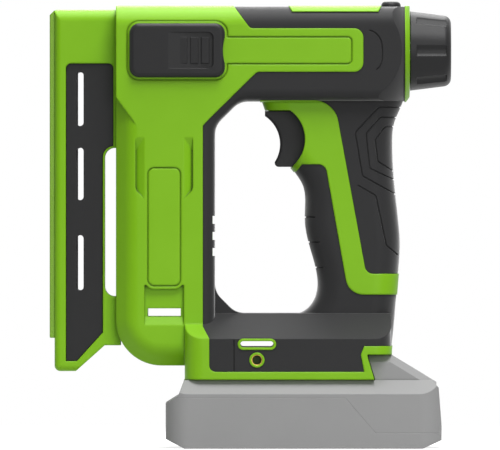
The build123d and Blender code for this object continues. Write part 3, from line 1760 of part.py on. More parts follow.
# Electronics in the base
ceiling_thickness = 1.2
hook_slot_lead = 11.0
hook_slot_length = 14.8
hook_slot_height = 2.7
hook_slot_lift = 3.3
sleeve_wall = 1.2
insert_lead = 18.4
insert_drop = 9.6
insert_bore = 2.1
insert_radius = 3.2
insert_length = 5.0
insert_floor = 1.6
boss_ring = 3.4
board_lead = 30.0
board_length = 32.0
board_half_width = 20.0
board_thickness = 1.6
board_lift = 6.0
capacitor_count = 2
capacitor_lead = 6.0
capacitor_pitch = 9.0
capacitor_y = 12.0
capacitor_radius = 3.5
capacitor_height = 4.5
chip_lead = 4.0
chip_y = -14.0
chip_size = 8.0
chip_height = 1.6
heat_sink_lead = 18.0
heat_sink_y = -12.0
heat_sink_length = 10.0
heat_sink_width = 3.0
terminal_length = 9.0
terminal_half_width = 18.0

ceiling_z = grip_bottom_z
ceiling_top_z = ceiling_z + ceiling_thickness
hook_slot_x = motor_rear_x + hook_slot_lead
hook_slot_z = ceiling_z + hook_slot_lift
insert_x = motor_rear_x + insert_lead
insert_z = base_shoulder_z - insert_drop
insert_boss_length = insert_length + insert_floor
board_x = motor_rear_x + board_lead
board_z = ceiling_top_z + board_lift
terminal_rear_x = block_front_x - play
terminal_x = terminal_rear_x - terminal_length

with BuildPart() as control_board:
    box_between(
        (board_x, -board_half_width, board_z),
        (board_x + board_length, board_half_width, board_z + board_thickness),
    )
    top_z = board_z + board_thickness
    for count in range(capacitor_count):
        capacitor_x = board_x + capacitor_lead + capacitor_pitch * count
        round_bar((capacitor_x, capacitor_y, top_z), (0, 0, 1), capacitor_height, capacitor_radius)
    chip_x = board_x + chip_lead
    box_between((chip_x, chip_y, top_z), (chip_x + chip_size, chip_y + chip_size, top_z + chip_height))
    sink_x = board_x + heat_sink_lead
    box_between(
        (sink_x, heat_sink_y, top_z),
        (sink_x + heat_sink_length, heat_sink_y + heat_sink_width, top_z + capacitor_height),
    )
control_board.part.label = "control_board"
export_step(control_board.part, "parts/control_board.step")

with BuildPart() as terminal_block:
    box_between(
        (terminal_x, -terminal_half_width, head_bottom_z), (terminal_rear_x, terminal_half_width, ceiling_z)
    )
    blade_low_z = slot_bottom_z + contact_thickness + play
    for blade_y in blade_ys:
        box_between(
            (terminal_rear_x, blade_y - terminal_blade_width / 2, blade_low_z),
            (
                terminal_rear_x + terminal_blade_length,
                blade_y + terminal_blade_width / 2,
                blade_low_z + terminal_blade_height,
            ),
        )
terminal_block.part.label = "terminal_block"
export_step(terminal_block.part, "parts/terminal_block.step")

insert_face_y = -base_half_width + skin
with BuildPart() as belt_hook_insert:
    round_bar((insert_x, insert_face_y, insert_z), (0, 1, 0), insert_length, insert_radius)
    round_bar((insert_x, insert_face_y, insert_z), (0, 1, 0), insert_length, insert_bore, Mode.SUBTRACT)
belt_hook_insert.part.label = "belt_hook_insert"
export_step(belt_hook_insert.part, "parts/belt_hook_insert.step")


# Ribs, bosses and cut-outs of the housing
rib_thickness = 3.0
cradle_lifts = [13.0, 45.0, 58.0, 69.1]
bulkhead_pad_half = 5.0
seat_guide_half = 3.0
switch_pad_lead = 6.0
switch_pad_length = 8.0
switch_pad_half = 4.0
board_post_leads = [3.0, 25.0]
board_post_size = 4.0
board_post_y = 14.0
clip_slot_lead = 14.2
clip_slot_length = 14.8
clip_slot_height = 3.6
clip_slot_drop = 1.8
side_channel_depth = 2.0
side_channel_lead = 8.8
side_channel_length = 25.6
side_channel_step = 4.0
side_channel_waist = 54.8
side_channel_top = 16.0
side_channel_ramp = 6.0
side_channel_foot = 5.8
side_bar_inset = 1.8
side_bar_top = 29.9
side_bar_bottom = 12.2
side_bar_round = 2.6
pad_reach = 0.9
vent_count = 3
vent_height = 3.6
vent_pitch = 7.2
vent_lift = 25.2
vent_half_width = 9.0
screw_radius = 1.2
screw_hole = 1.5
screw_head_radius = 2.8
screw_head_height = 2.2
screw_sink = 4.0
screw_reach = 8.0
screw_recess = 1.1
boss_radius = 3.0
tongue_length = 57.0
tongue_height = 12.6
tongue_round = 2.2
slider_ring_gap = 0.8

clip_slot_x = body_front_x + clip_slot_lead
clip_slot_z = base_top_z - clip_slot_drop
channel_x = body_front_x + side_channel_lead
channel_end_x = channel_x + side_channel_length
channel_top = barrel_bottom_z - side_channel_top
channel_step_z = base_top_z + side_channel_waist
channel_foot_z = base_top_z - side_channel_foot
channel_floor_y = -body_half_width + side_channel_depth
channel_middle_x = channel_x + side_channel_length / 2
narrow_length = side_channel_length - 2 * side_channel_step
bar_bottom_z = base_top_z + side_bar_bottom
bar_top_z = barrel_bottom_z - side_bar_top
bar_height = bar_top_z - bar_bottom_z

# Each screw stands at a place in the side view, where the tool has the half width given last
screw_places = [
    (body_front_x - 4.6, column_top_z - 8.4, column_half_width),
    (body_front_x - 2.0, base_top_z - 3.8, column_half_width),
    (motor_rear_x + 23.5, barrel_bottom_z + 7.9, body_half_width),
    (motor_rear_x + 35.5, barrel_top_z - 6.4, body_half_width),
    (body_front_x + 24.2, dome_bottom_z + 11.5, body_half_width),
    (grip_rear_x - 9.0, barrel_bottom_z - 0.1, grip_half_width),
    (waist_x + 23.0, base_top_z + 17.2, grip_half_width),
    (motor_rear_x + 7.5, base_top_z - 6.5, base_top_half_width),
]


def screw_head_y(half_width):
    """Where a screw's head lies, sunk into the side of the tool."""
    return half_width - screw_sink - screw_head_height


def both_sides(low, high):
    """Two blocks that mirror each other across the tool, from the corners of the one at +Y."""
    box_between(low, high)
    box_between((low[0], -high[1], low[2]), (high[0], -low[1], high[2]))


def hook_slot(grow):
    """The belt hook's slot with round ends, or a larger one around it, right across the tool."""
    with BuildSketch(Plane.XZ) as stadium:
        with Locations((hook_slot_x + hook_slot_length / 2, hook_slot_z + hook_slot_height / 2)):
            SlotOverall(hook_slot_length + 2 * grow, hook_slot_height + 2 * grow)
    extrude(stadium.sketch, amount=far, both=True)


with BuildPart() as ribs:
    for lift in cradle_lifts:
        cradle_z = motor_bottom_z + lift
        box_between(
            (body_front_x + skin, -far, cradle_z), (motor_rear_x - skin, far, cradle_z + rib_thickness)
        )
    motor_stack = nose_top_z - motor_bottom_z
    round_bar((motor_x, 0, motor_bottom_z), (0, 0, 1), motor_stack, motor_radius + running, Mode.SUBTRACT)
    plates = [
        (body_inner_x, bulkhead_thickness),
        (rod_rear_x - bulkhead_thickness, bulkhead_thickness),
        (rear_bulkhead_x, rear_bulkhead_thickness),
    ]
    for plate_x, thickness in plates:
        both_sides(
            (plate_x - rib_thickness, bulkhead_half_width - pad_reach, axis_z - bulkhead_pad_half),
            (plate_x + thickness + rib_thickness, far, axis_z + bulkhead_pad_half),
        )
        box_between(
            (plate_x, -bulkhead_half_width, axis_z - far),
            (plate_x + thickness, bulkhead_half_width, axis_z + far),
            mode=Mode.SUBTRACT,
        )
    both_sides(
        (seat_x - preload_travel, seat_half_width + play, axis_z - seat_guide_half),
        (seat_x + seat_thickness, far, axis_z + seat_guide_half),
    )
    both_sides(
        (switch_x + switch_pad_lead, switch_half_width, stem_z - switch_pad_half),
        (switch_x + switch_pad_lead + switch_pad_length, far, stem_z + switch_pad_half),
    )
    for lead in board_post_leads:
        both_sides(
            (board_x + lead, board_post_y, ceiling_z),
            (board_x + lead + board_post_size, board_post_y + board_post_size, board_z),
        )
    box_between(
        (button_x - shelf_half_length, -far, shelf_bottom_z), (button_x + shelf_half_length, far, shelf_top_z)
    )
    box_between((base_front_x, -far, ceiling_z), (base_rear_x, far, ceiling_top_z))
    for screw_x, screw_z, half_width in screw_places:
        round_bar((screw_x, -half_width, screw_z), (0, 1, 0), 2 * half_width, boss_radius)
    add(under_skin, mode=Mode.INTERSECT)

with BuildPart() as sleeves:
    hook_slot(sleeve_wall)
    box_between(
        (clip_slot_x - sleeve_wall, -far, clip_slot_z - sleeve_wall),
        (clip_slot_x + clip_slot_length + sleeve_wall, far, motor_bottom_z),
    )
    insert_boss_radius = insert_radius + sleeve_wall
    round_bar((insert_x, insert_face_y, insert_z), (0, 1, 0), insert_boss_length, insert_boss_radius)
    round_bar((insert_x, -base_half_width, insert_z), (0, 1, 0), skin, boss_ring)
    add(outside, mode=Mode.INTERSECT)

# A seat for a clip on each side of the motor body: two sloping hollows beside its upper end, a bar outlined
# by a fine groove, and a shallow pocket below it around the slot
with BuildPart() as side_seat:
    narrow_x = channel_x + side_channel_step
    narrow_end_x = narrow_x + narrow_length
    step_low_z = channel_step_z - side_channel_step
    bends = [(channel_x, channel_step_z), (channel_end_x, channel_step_z)]
    with BuildSketch(Plane.XZ.offset(body_half_width)) as hollows:
        with BuildLine():
            Polyline(
                (channel_x, channel_top),
                (channel_end_x, channel_top),
                bends[1],
                (narrow_end_x, step_low_z),
                (narrow_x, step_low_z),
                bends[0],
                close=True,
            )
        make_face()
        fillet(corners_at(hollows, *bends), side_channel_step)
    extrude(amount=-side_channel_depth)
    with BuildSketch(Plane.XY.offset(step_low_z)):
        with BuildLine():
            Polyline(
                (channel_x, channel_floor_y),
                (narrow_x, -body_half_width),
                (narrow_end_x, -body_half_width),
                (channel_end_x, channel_floor_y),
                close=True,
            )
        make_face()
    extrude(amount=channel_top - step_low_z, mode=Mode.SUBTRACT)
    with BuildSketch(Plane.YZ):
        with BuildLine():
            Polyline(
                (-body_half_width, channel_top),
                (channel_floor_y, channel_top),
                (channel_floor_y, channel_top - side_channel_ramp),
                close=True,
            )
        make_face()
    extrude(amount=far, both=True, mode=Mode.SUBTRACT)
    bar_length = narrow_length - 2 * side_bar_inset
    bar_middle = (channel_middle_x, (bar_bottom_z + bar_top_z) / 2)
    ring = 2 * groove_width
    rim = 2 * side_bar_inset
    with BuildSketch(Plane.XZ.offset(body_half_width)):
        with Locations(bar_middle):
            RectangleRounded(bar_length + ring, bar_height + ring, side_bar_round + groove_width)
            RectangleRounded(bar_length, bar_height, side_bar_round, mode=Mode.SUBTRACT)
    extrude(amount=-groove_depth)
    with BuildSketch(Plane.XZ.offset(body_half_width)):
        with BuildLine():
            Polyline(
                (narrow_x, bar_bottom_z),
                (narrow_end_x, bar_bottom_z),
                (narrow_end_x, channel_foot_z),
                (narrow_x, channel_foot_z),
                close=True,
            )
        make_face()
        with Locations(bar_middle):
            RectangleRounded(
                bar_length + rim, bar_height + rim, side_bar_round + side_bar_inset, mode=Mode.SUBTRACT
            )
    extrude(amount=-side_channel_depth)
    with BuildSketch(Plane.YZ):
        with BuildLine():
            Polyline(
                (-body_half_width, channel_foot_z),
                (channel_floor_y, channel_foot_z),
                (channel_floor_y, clip_slot_z),
                close=True,
            )
        make_face()
    extrude(amount=far, both=True, mode=Mode.SUBTRACT)
    mirror(about=Plane.XZ)

with BuildPart() as skin_cuts:
    for count in range(vent_count):
        vent_z = base_top_z + vent_lift + count * vent_pitch
        box_between((motor_rear_x - skin, -far, vent_z), (motor_rear_x + skin, far, vent_z + vent_height))
    hook_slot(sleeve_wall)
    round_bar((insert_x, -base_half_width, insert_z), (0, 1, 0), skin, boss_ring)

# Wells and holes that go through the housing and the overmould alike
with BuildPart() as shared_cuts:
    round_bar((button_x, 0, shelf_top_z), (0, 0, 1), far, button_radius + play)
    for screw_x, screw_z, half_width in screw_places:
        head_y = screw_head_y(half_width)
        round_bar((screw_x, head_y, screw_z), (0, 1, 0), far, screw_head_radius + fit_gap)

with BuildPart() as cover_openings:
    extrude(cover_outline(fit_gap), amount=far, both=True)
    box_between((-far, -flange_outer_y, -far), (far, flange_outer_y, far), mode=Mode.SUBTRACT)

# A groove around the slider that runs on around the bare panel behind it
with BuildPart() as tongue_line:
    panel_start_x = slider_middle_x
    panel_end_x = slider_rear_x + tongue_length
    panel_middle = ((panel_start_x + panel_end_x) / 2, slider_middle_z)
    with BuildSketch(Plane.XZ.offset(body_half_width)):
        for mode, gap in ((Mode.ADD, slider_ring_gap + groove_width), (Mode.SUBTRACT, slider_ring_gap)):
            inside_line = slider_ring_gap + groove_width - gap
            with Locations((slider_middle_x, slider_middle_z)):
                RectangleRounded(
                    slider_length + 2 * gap, slider_height + 2 * gap, slider_round + gap, mode=mode
                )
            with Locations(panel_middle):
                RectangleRounded(
                    panel_end_x - panel_start_x - 2 * inside_line,
                    tongue_height - 2 * inside_line,
                    tongue_round - inside_line,
                    mode=mode,
                )
    extrude(amount=-groove_depth)

with BuildPart() as cuts:
    box_between(
        (clip_slot_x, -far, clip_slot_z),
        (clip_slot_x + clip_slot_length, far, clip_slot_z + clip_slot_height),
    )
    hook_slot(0)
    round_bar((insert_x, insert_face_y, insert_z), (0, 1, 0), insert_length, insert_radius)
    round_bar((insert_x, -base_half_width, insert_z), (0, 1, 0), skin, insert_bore + play)
    # The way of the blade and the way out of the staple rail
    box_between((column_front_x, -slot[0], axis_z - slot[1]), (body_inner_x, slot[0], axis_z + slot[1]))
    box_between(
        (rail_front_x - play, -cap_half - play, column_bottom_z - wall),
        (channel_rear_x - channel_wall, cap_half + play, rail_bottom_z),
    )
    # Trigger window, slider slot and spindle hole
    stem_slot_half = stem_height / 2 + play
    box_between(
        (trigger_tip_x, -trigger_half_width - play, trigger_bottom_z),
        (lug_rear_x + trigger_travel, trigger_half_width + play, trigger_top_z),
    )
    box_between(
        (stem_x - play, -far, slider_middle_z - stem_slot_half),
        (stem_x + stem_length + slider_travel + play, retainer_y - play, slider_middle_z + stem_slot_half),
    )
    round_bar((button_x, 0, axis_z), (1, 0, 0), button_lead + wall, spindle_radius + play)
    # Bay and rails for the pack
    box_between(
        (block_front_x - slide_gap, -head_half - play, base_bottom_z + wall),
        (base_rear_x + far, head_half + play, ceiling_z),
    )
    box_between(
        (block_front_x - slide_gap, -neck_half - play, base_bottom_z - wall),
        (base_rear_x + far, neck_half + play, base_bottom_z + wall),
    )
    for count in range(vent_count):
        vent_z = base_top_z + vent_lift + count * vent_pitch
        box_between(
            (motor_rear_x - 2 * wall, -vent_half_width, vent_z),
            (motor_rear_x, vent_half_width, vent_z + vent_height),
        )
    for screw_x, screw_z, half_width in screw_places:
        pilot_radius = screw_radius + running
        round_bar((screw_x, 0, screw_z), (0, 1, 0), screw_head_y(half_width), screw_hole)
        round_bar((screw_x, -screw_reach, screw_z), (0, 1, 0), screw_reach, pilot_radius)

with BuildPart() as shell:
    add(outside)
    add([inside, soft_zone.part], mode=Mode.SUBTRACT)
    add([ribs.part, sleeves.part])
    hollows = [cuts.part, shared_cuts.part, cover_openings.part, tongue_line.part, side_seat.part]
    add(hollows, mode=Mode.SUBTRACT)
    # A ridge under the lip, which guides the top of the trigger
    box_between(
        (trigger_tip_x + guide_half, -guide_half, trigger_top_z - guide_depth),
        (trigger_back_x, guide_half, trigger_top_z + fit_gap),
    )

with BuildPart() as soft_skin:
    add(overmould.part)
    add([skin_cuts.part, shared_cuts.part], mode=Mode.SUBTRACT)

for side, sign in (("left", -1), ("right", 1)):
    near_y, far_y = sorted((0, sign * far))
    with BuildPart() as housing:
        add(shell.part)
        box_between((-far, near_y, -far), (far, far_y, far), mode=Mode.INTERSECT)
    housing.part.label = "housing_" + side
    export_step(housing.part, "parts/housing_" + side + ".step")
    with BuildPart() as overmould_half:
        add(soft_skin.part)
        box_between((-far, near_y, -far), (far, far_y, far), mode=Mode.INTERSECT)
    overmould_half.part.label = "overmould_" + side
    export_step(overmould_half.part, "parts/overmould_" + side + ".step")

with BuildPart() as housing_screws:
    for screw_x, screw_z, half_width in screw_places:
        head_y = screw_head_y(half_width)
        shank_y = play - screw_reach
        recess_y = head_y + screw_head_height - screw_recess
        round_bar((screw_x, shank_y, screw_z), (0, 1, 0), head_y - shank_y, screw_radius)
        round_bar((screw_x, head_y, screw_z), (0, 1, 0), screw_head_height, screw_head_radius)
        round_bar((screw_x, recess_y, screw_z), (0, 1, 0), screw_recess, screw_radius, Mode.SUBTRACT)
housing_screws.part.label = "housing_screws"
export_step(housing_screws.part, "parts/housing_screws.step")
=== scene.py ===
# %% [markdown]
# # A cordless stapler, dressed for its portrait
# The solid shapes of the tool come ready made: every housing half, gear and cell is its own named object,
# at its real size in metres. This lesson gives each of them a finish, turns the plain spring tubes into
# wound wire, and lights the tool like a catalogue picture.

# %% Load the tool and keep its size
import bpy
import bmesh
import json
from math import pi
from mathutils import Matrix, Vector

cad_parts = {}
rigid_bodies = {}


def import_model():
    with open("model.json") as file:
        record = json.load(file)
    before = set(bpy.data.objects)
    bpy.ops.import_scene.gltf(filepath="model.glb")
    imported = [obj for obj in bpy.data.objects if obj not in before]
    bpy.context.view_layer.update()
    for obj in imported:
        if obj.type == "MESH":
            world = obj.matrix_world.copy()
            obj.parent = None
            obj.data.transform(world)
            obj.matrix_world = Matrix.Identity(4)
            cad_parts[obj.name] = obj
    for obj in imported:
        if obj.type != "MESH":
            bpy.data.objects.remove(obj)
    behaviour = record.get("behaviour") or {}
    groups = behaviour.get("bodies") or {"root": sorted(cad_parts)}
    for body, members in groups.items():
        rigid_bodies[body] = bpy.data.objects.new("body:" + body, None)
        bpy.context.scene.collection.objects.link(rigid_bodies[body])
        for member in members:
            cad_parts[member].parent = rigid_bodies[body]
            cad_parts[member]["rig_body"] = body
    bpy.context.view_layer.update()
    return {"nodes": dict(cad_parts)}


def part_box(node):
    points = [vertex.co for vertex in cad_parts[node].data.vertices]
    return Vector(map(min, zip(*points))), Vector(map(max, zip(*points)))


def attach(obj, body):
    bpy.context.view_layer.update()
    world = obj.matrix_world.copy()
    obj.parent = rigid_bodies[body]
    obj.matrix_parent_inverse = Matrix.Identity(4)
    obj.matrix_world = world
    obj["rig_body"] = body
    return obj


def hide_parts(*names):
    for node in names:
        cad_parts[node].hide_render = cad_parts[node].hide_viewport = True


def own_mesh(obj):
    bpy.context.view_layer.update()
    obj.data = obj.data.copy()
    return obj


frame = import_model()
nodes = frame["nodes"]

# %% [markdown]
# ## The camera
# The tool is pictured square on from its side, from far away, so nothing looks bigger for being nearer.
# An orthographic camera would do that, but a very long lens does nearly the same and can still be walked
# around the tool. The width of the picture at the tool sets how far away the lens stands.

# %% Camera
picture_width = 0.2245
picture_middle_x = -0.0002
picture_middle_z = 0.0999
lens_length = 1000.0
sensor = 36.0

lens = bpy.data.cameras.new("long_lens")
lens.lens = lens_length
lens.sensor_width = sensor
camera = bpy.data.objects.new("long_lens", lens)
bpy.context.scene.collection.objects.link(camera)
camera.location = (picture_middle_x, -picture_width * lens_length / sensor, picture_middle_z)
camera.rotation_euler = (pi / 2, 0, 0)
bpy.context.scene.camera = camera
print("the camera stands", round(-camera.location.y, 2), "m away")

# %% [markdown]
# ## Shaders from signs
# A finish is a tree of nodes. Wiring it by hand takes a line for each node and a line for each link, so two
# small classes do it: one makes a node and links what it is given, and the other lets Python's own signs add
# Math nodes. A sum such as `0.4 + clouds * 0.1` then reads as what it does.

# %% Two small classes that turn Python's signs into nodes


class Wire:
    """One output of a node. Sums and products of wires add Math nodes."""

    def __init__(self, finish, socket):
        self.finish = finish
        self.socket = socket

    def sum_up(self, operation, first, second):
        return self.finish.node("Math", {"operation": operation}, {0: first, 1: second})

    def __add__(self, other):
        return self.sum_up("ADD", self, other)

    def __sub__(self, other):
        return self.sum_up("SUBTRACT", self, other)

    def __rsub__(self, other):
        return self.sum_up("SUBTRACT", other, self)

    def __mul__(self, other):
        return self.sum_up("MULTIPLY", self, other)

    def __gt__(self, other):
        return self.sum_up("GREATER_THAN", self, other)

    def __lt__(self, other):
        return self.sum_up("LESS_THAN", self, other)

    def most(self, other):
        return self.sum_up("MAXIMUM", self, other)

    __radd__ = __add__
    __rmul__ = __mul__


class Finish:
    """A node tree that is being wired up."""

    def __init__(self, tree):
        self.tree = tree
        tree.nodes.clear()

    def node(self, kind, settings=None, sockets=None, output=0):
        """Adds a node, sets its options, fills or links its sockets, and gives one of its outputs."""
        made = self.tree.nodes.new("ShaderNode" + kind)
        for name, value in (settings or {}).items():
            setattr(made, name, value)
        for name, value in (sockets or {}).items():
            if isinstance(value, Wire):
                self.tree.links.new(value.socket, made.inputs[name])
            else:
                made.inputs[name].default_value = value
        return Wire(self, made.outputs[output]) if made.outputs else made


def shade(red, green, blue):
    """A screen colour from 0 to 255, taken off the sRGB curve, as the linear colour that a shader takes."""
    parts = [value / 255 for value in (red, green, blue)]
    return (*[p / 12.92 if p < 0.04045 else ((p + 0.055) / 1.055) ** 2.4 for p in parts], 1.0)


# %% [markdown]
# ## The studio
# A pale floor runs out to the horizon under a white sky. The floor is a plain white diffuse surface, so it
# takes the tool's shadow, with a little of its own light added only where the camera or a shiny surface
# looks at it, so that it meets the sky without a line. Four soft boxes light the tool: the key from above
# the camera, one right over the tool, which gives the bright top edges, a broad one at the camera's side
# and a weaker one behind.

# %% Floor, sky and soft boxes
sky_light = 0.16
floor_glow = 0.79
floor_white = 0.45
floor_half = 40
near_floor = 0.25
far_floor = 0.7


def seen_directly(finish):
    """1 where the camera, a reflection or a clear piece looks, and 0 for the light that falls on the tool."""
    camera_ray = finish.node("LightPath", output="Is Camera Ray")
    mirror_ray = finish.node("LightPath", output="Is Glossy Ray")
    clear_ray = finish.node("LightPath", output="Is Transmission Ray")
    return camera_ray.most(mirror_ray).most(clear_ray)


world = bpy.data.worlds.new("white_sky")
world.use_nodes = True
bpy.context.scene.world = world
sky = Finish(world.node_tree)
sky_strength = sky_light + (1 - sky_light) * seen_directly(sky)
sky_glow = sky.node("Background", {}, {"Color": (1, 1, 1, 1), "Strength": sky_strength})
sky.node("OutputWorld", {}, {"Surface": sky_glow})

floor_paint = bpy.data.materials.new("white_floor")
floor_paint.use_nodes = True
ground = Finish(floor_paint.node_tree)
floor_seen = seen_directly(ground)
floor_glows = ground.node("Emission", {}, {"Strength": floor_glow * floor_seen})
floor_takes_light = ground.node("BsdfDiffuse", {}, {"Color": (floor_white, floor_white, floor_white, 1)})
floor_near = ground.node("AddShader", {}, {0: floor_glows, 1: floor_takes_light})
floor_place = ground.node("TexCoord", output="Object")
from_tool = ground.node("VectorMath", {"operation": "LENGTH"}, {0: floor_place}, output="Value")
ramp_out = ground.node("MapRange", {"clamp": True}, {
    "Value": from_tool, "From Min": near_floor, "From Max": far_floor})
floor_far = ground.node("Emission", {}, {"Strength": floor_seen})
floor_all = ground.node("MixShader", {}, {0: ramp_out, 1: floor_near, 2: floor_far})
ground.node("OutputMaterial", {}, {"Surface": floor_all})

floor_mesh = bmesh.new()
bmesh.ops.create_grid(floor_mesh, x_segments=1, y_segments=1, size=floor_half)
floor_data = bpy.data.meshes.new("floor")
floor_mesh.to_mesh(floor_data)
floor_mesh.free()
floor_data.materials.append(floor_paint)
floor = bpy.data.objects.new("floor", floor_data)
bpy.context.scene.collection.objects.link(floor)

tool_middle = (0, 0, 0.1)


def soft_box(name, place, side, power):
    """A square soft light that faces the tool and can't be seen itself."""
    lamp = bpy.data.lights.new(name, "AREA")
    lamp.shape = "SQUARE"
    lamp.size = side
    lamp.energy = power
    box = bpy.data.objects.new(name, lamp)
    bpy.context.scene.collection.objects.link(box)
    box.location = place
    box.rotation_euler = (Vector(tool_middle) - Vector(place)).to_track_quat("-Z", "Y").to_euler()
    box.visible_camera = False


soft_box("key_box", place=(0.30, -0.75, 1.45), side=0.8, power=23.0)
soft_box("top_box", place=(0, 0.05, 1.20), side=0.6, power=10.0)
soft_box("front_box", place=(0.5, -1.8, 0.30), side=1.0, power=10.0)
soft_box("back_box", place=(0.05, 0.95, 1.05), side=0.8, power=9.0)
print("lights:", len(bpy.data.lights))

# %% [markdown]
# ## Ready to paint: edges, hollows and grain
# Moulded plastic has no perfectly sharp edges. The Bevel node rounds the shading of every edge by about half
# a millimetre, and the angle between that soft normal and the true one tells where an edge is, which is
# painted
# a little paler: partly handling wear, partly a painted highlight. An Ambient Occlusion node that looks only
# at its own piece finds the engraved lines and corners, which get painted shade, and a second one that looks
# farther finds the bottom of deep holes, which are painted nearly black as painted shade. Real moulds are
# spark eroded, which leaves a grain of about a quarter of a millimetre: a fine noise into a Bump node.

# %% Helpers for every finish
noise_roughness = 0.55
edge_samples = 6
hollow_samples = 8
flat_angle = 0.01
sharp_angle = 0.22


def new_finish(name):
    """A new material and its empty node tree."""
    material = bpy.data.materials.new(name)
    material.use_nodes = True
    return material, Finish(material.node_tree)


def place_on(finish, stretch=(1, 1, 1)):
    """The piece's own coordinates in metres, stretched where a pattern has a direction."""
    place = finish.node("TexCoord", output="Object")
    return finish.node("Mapping", {}, {"Vector": place, "Scale": stretch})


def height_of(finish, axis):
    """The piece's own X, Y or Z in metres."""
    return finish.node("SeparateXYZ", {}, {"Vector": place_on(finish)}, output=axis)


def grain_of(finish, size, detail, stretch=(1, 1, 1)):
    """A cloud of noise from 0 to 1 whose patches are about that many metres across."""
    return finish.node("TexNoise", {}, {
        "Vector": place_on(finish, stretch), "Scale": 1 / size, "Detail": detail,
        "Roughness": noise_roughness})


def blend_of(finish, share, first, second):
    """A colour between two colours."""
    return finish.node("Mix", {"data_type": "RGBA"}, {0: share, 6: first, 7: second}, output=2)


def between(finish, value, low, high):
    """0 up to a low value, 1 from a high one, and straight in between."""
    return finish.node("MapRange", {"clamp": True}, {"Value": value, "From Min": low, "From Max": high})


def round_normal(finish, radius):
    """The surface's normal with every edge rounded."""
    return finish.node("Bevel", {"samples": edge_samples}, {"Radius": radius})


def edge_of(finish, soft_normal):
    """1 on a sharp edge, 0 on a flat."""
    true_normal = finish.node("NewGeometry", output="Normal")
    alike = finish.node("VectorMath", {"operation": "DOT_PRODUCT"}, {0: soft_normal, 1: true_normal},
                        output="Value")
    return between(finish, 1 - alike, low=flat_angle, high=sharp_angle)


def hollow_of(finish, reach, low, high):
    """1 deep in a groove, corner or hole, 0 in the open. The reach is how far away a wall still counts."""
    opened = finish.node("AmbientOcclusion", {"samples": hollow_samples, "only_local": True},
                         {"Distance": reach}, output="AO")
    return between(finish, 1 - opened, low, high)


def bump_of(finish, strength, depth, height, normal):
    """A normal that follows a height."""
    return finish.node("Bump", {}, {
        "Strength": strength, "Distance": depth, "Height": height, "Normal": normal})


def finish_with(finish, surface):
    """Ends a finish with its surface."""
    finish.node("OutputMaterial", {}, {"Surface": surface})


def dress(material, *names):
    """Gives a finish to CAD nodes."""
    for name in names:
        nodes[name].data.materials.clear()
        nodes[name].data.materials.append(material)
    print(material.name, "on", len(names), "nodes")


# %% [markdown]
# ## Two recipes
# Nearly every piece is either moulded or metal, so each gets one recipe with a few numbers to set. The names
# that end in share say how much of a layer shows, and those that end in gloss how far it moves the roughness.

# %% Recipe for moulded plastic and rubber
plastic_gloss = 0.2
sheen_spread = 0.4
grain_strength = 0.35
cloud_size = 0.022
flow_size = 0.009
flow_stretch = (1, 1, 0.35)
# The groove and hole settings paint shade: grooves and corners darker, the bottom of deep holes nearly black.
groove_shade_reach = 0.0016
hole_shade_reach = 0.010
hole_shade_black = shade(6, 7, 5)
cloud_share = 0.5
speck_share = 0.25
pale_edge_and_highlight_share = 0.5
groove_shade_share = 0.85
hole_shade_share = 0.9
cloud_gloss = 0.10
speck_gloss = 0.06
edge_gloss = 0.08


# dark is the colour of the painted shade in grooves and corners; pale is the cloud tone and the worn edge
# with its painted highlight.
def moulded(name, colour, pale, dark, roughness, grain, grain_depth, sheen=0.0, edge_round=0.0005):
    """A moulded plastic or rubber: cloudy colour, pale worn edges with a painted highlight, painted shade in
    grooves and holes, and a fine grain.
    """
    material, finish = new_finish(name)
    soft = round_normal(finish, edge_round)
    clouds = grain_of(finish, cloud_size, detail=3.0)
    specks = grain_of(finish, grain, detail=2.0)
    flow = grain_of(finish, flow_size, detail=2.0, stretch=flow_stretch)
    # Pale edges: partly handling wear in patches, partly a painted highlight.
    edge = edge_of(finish, soft) * between(finish, flow, low=0.35, high=0.7)
    # Painted shade: where the piece's own walls close in, the colour goes towards dark.
    groove = hollow_of(finish, groove_shade_reach, low=0.15, high=0.75)
    # Painted shade: the bottom of a deep hole, walled in all round, is painted nearly black.
    hole = hollow_of(finish, hole_shade_reach, low=0.62, high=0.80)
    cloudy = between(finish, clouds, low=0.3, high=0.7) * cloud_share + specks * speck_share
    tone = blend_of(finish, cloudy, colour, pale)
    # Worn edges with a painted highlight.
    worn_and_highlit = blend_of(finish, edge * pale_edge_and_highlight_share, tone, pale)
    # Painted shade in engraved lines and corners.
    groove_shaded = blend_of(finish, groove * groove_shade_share, worn_and_highlit, dark)
    # Painted shade at the bottom of deep holes.
    hole_shaded = blend_of(finish, hole * hole_shade_share, groove_shaded, hole_shade_black)
    rough = roughness + (clouds - 0.5) * cloud_gloss + (specks - 0.5) * speck_gloss - edge * edge_gloss
    finish_with(finish, finish.node("BsdfPrincipled", {}, {
        "Base Color": hole_shaded, "Roughness": rough,
        "Normal": bump_of(finish, grain_strength, grain_depth, specks, soft),
        "Specular IOR Level": plastic_gloss, "Sheen Weight": sheen, "Sheen Roughness": sheen_spread}))
    return material


# %% Recipe for metal
metal_edge_round = 0.00025
streak_size = 0.0006
streak_strength = 0.25
streak_depth = 0.00004
plating_size = 0.008
plating_share = 0.6
streak_share = 0.3
bright_edge_share = 0.5
streak_gloss = 0.22
plating_gloss = 0.12


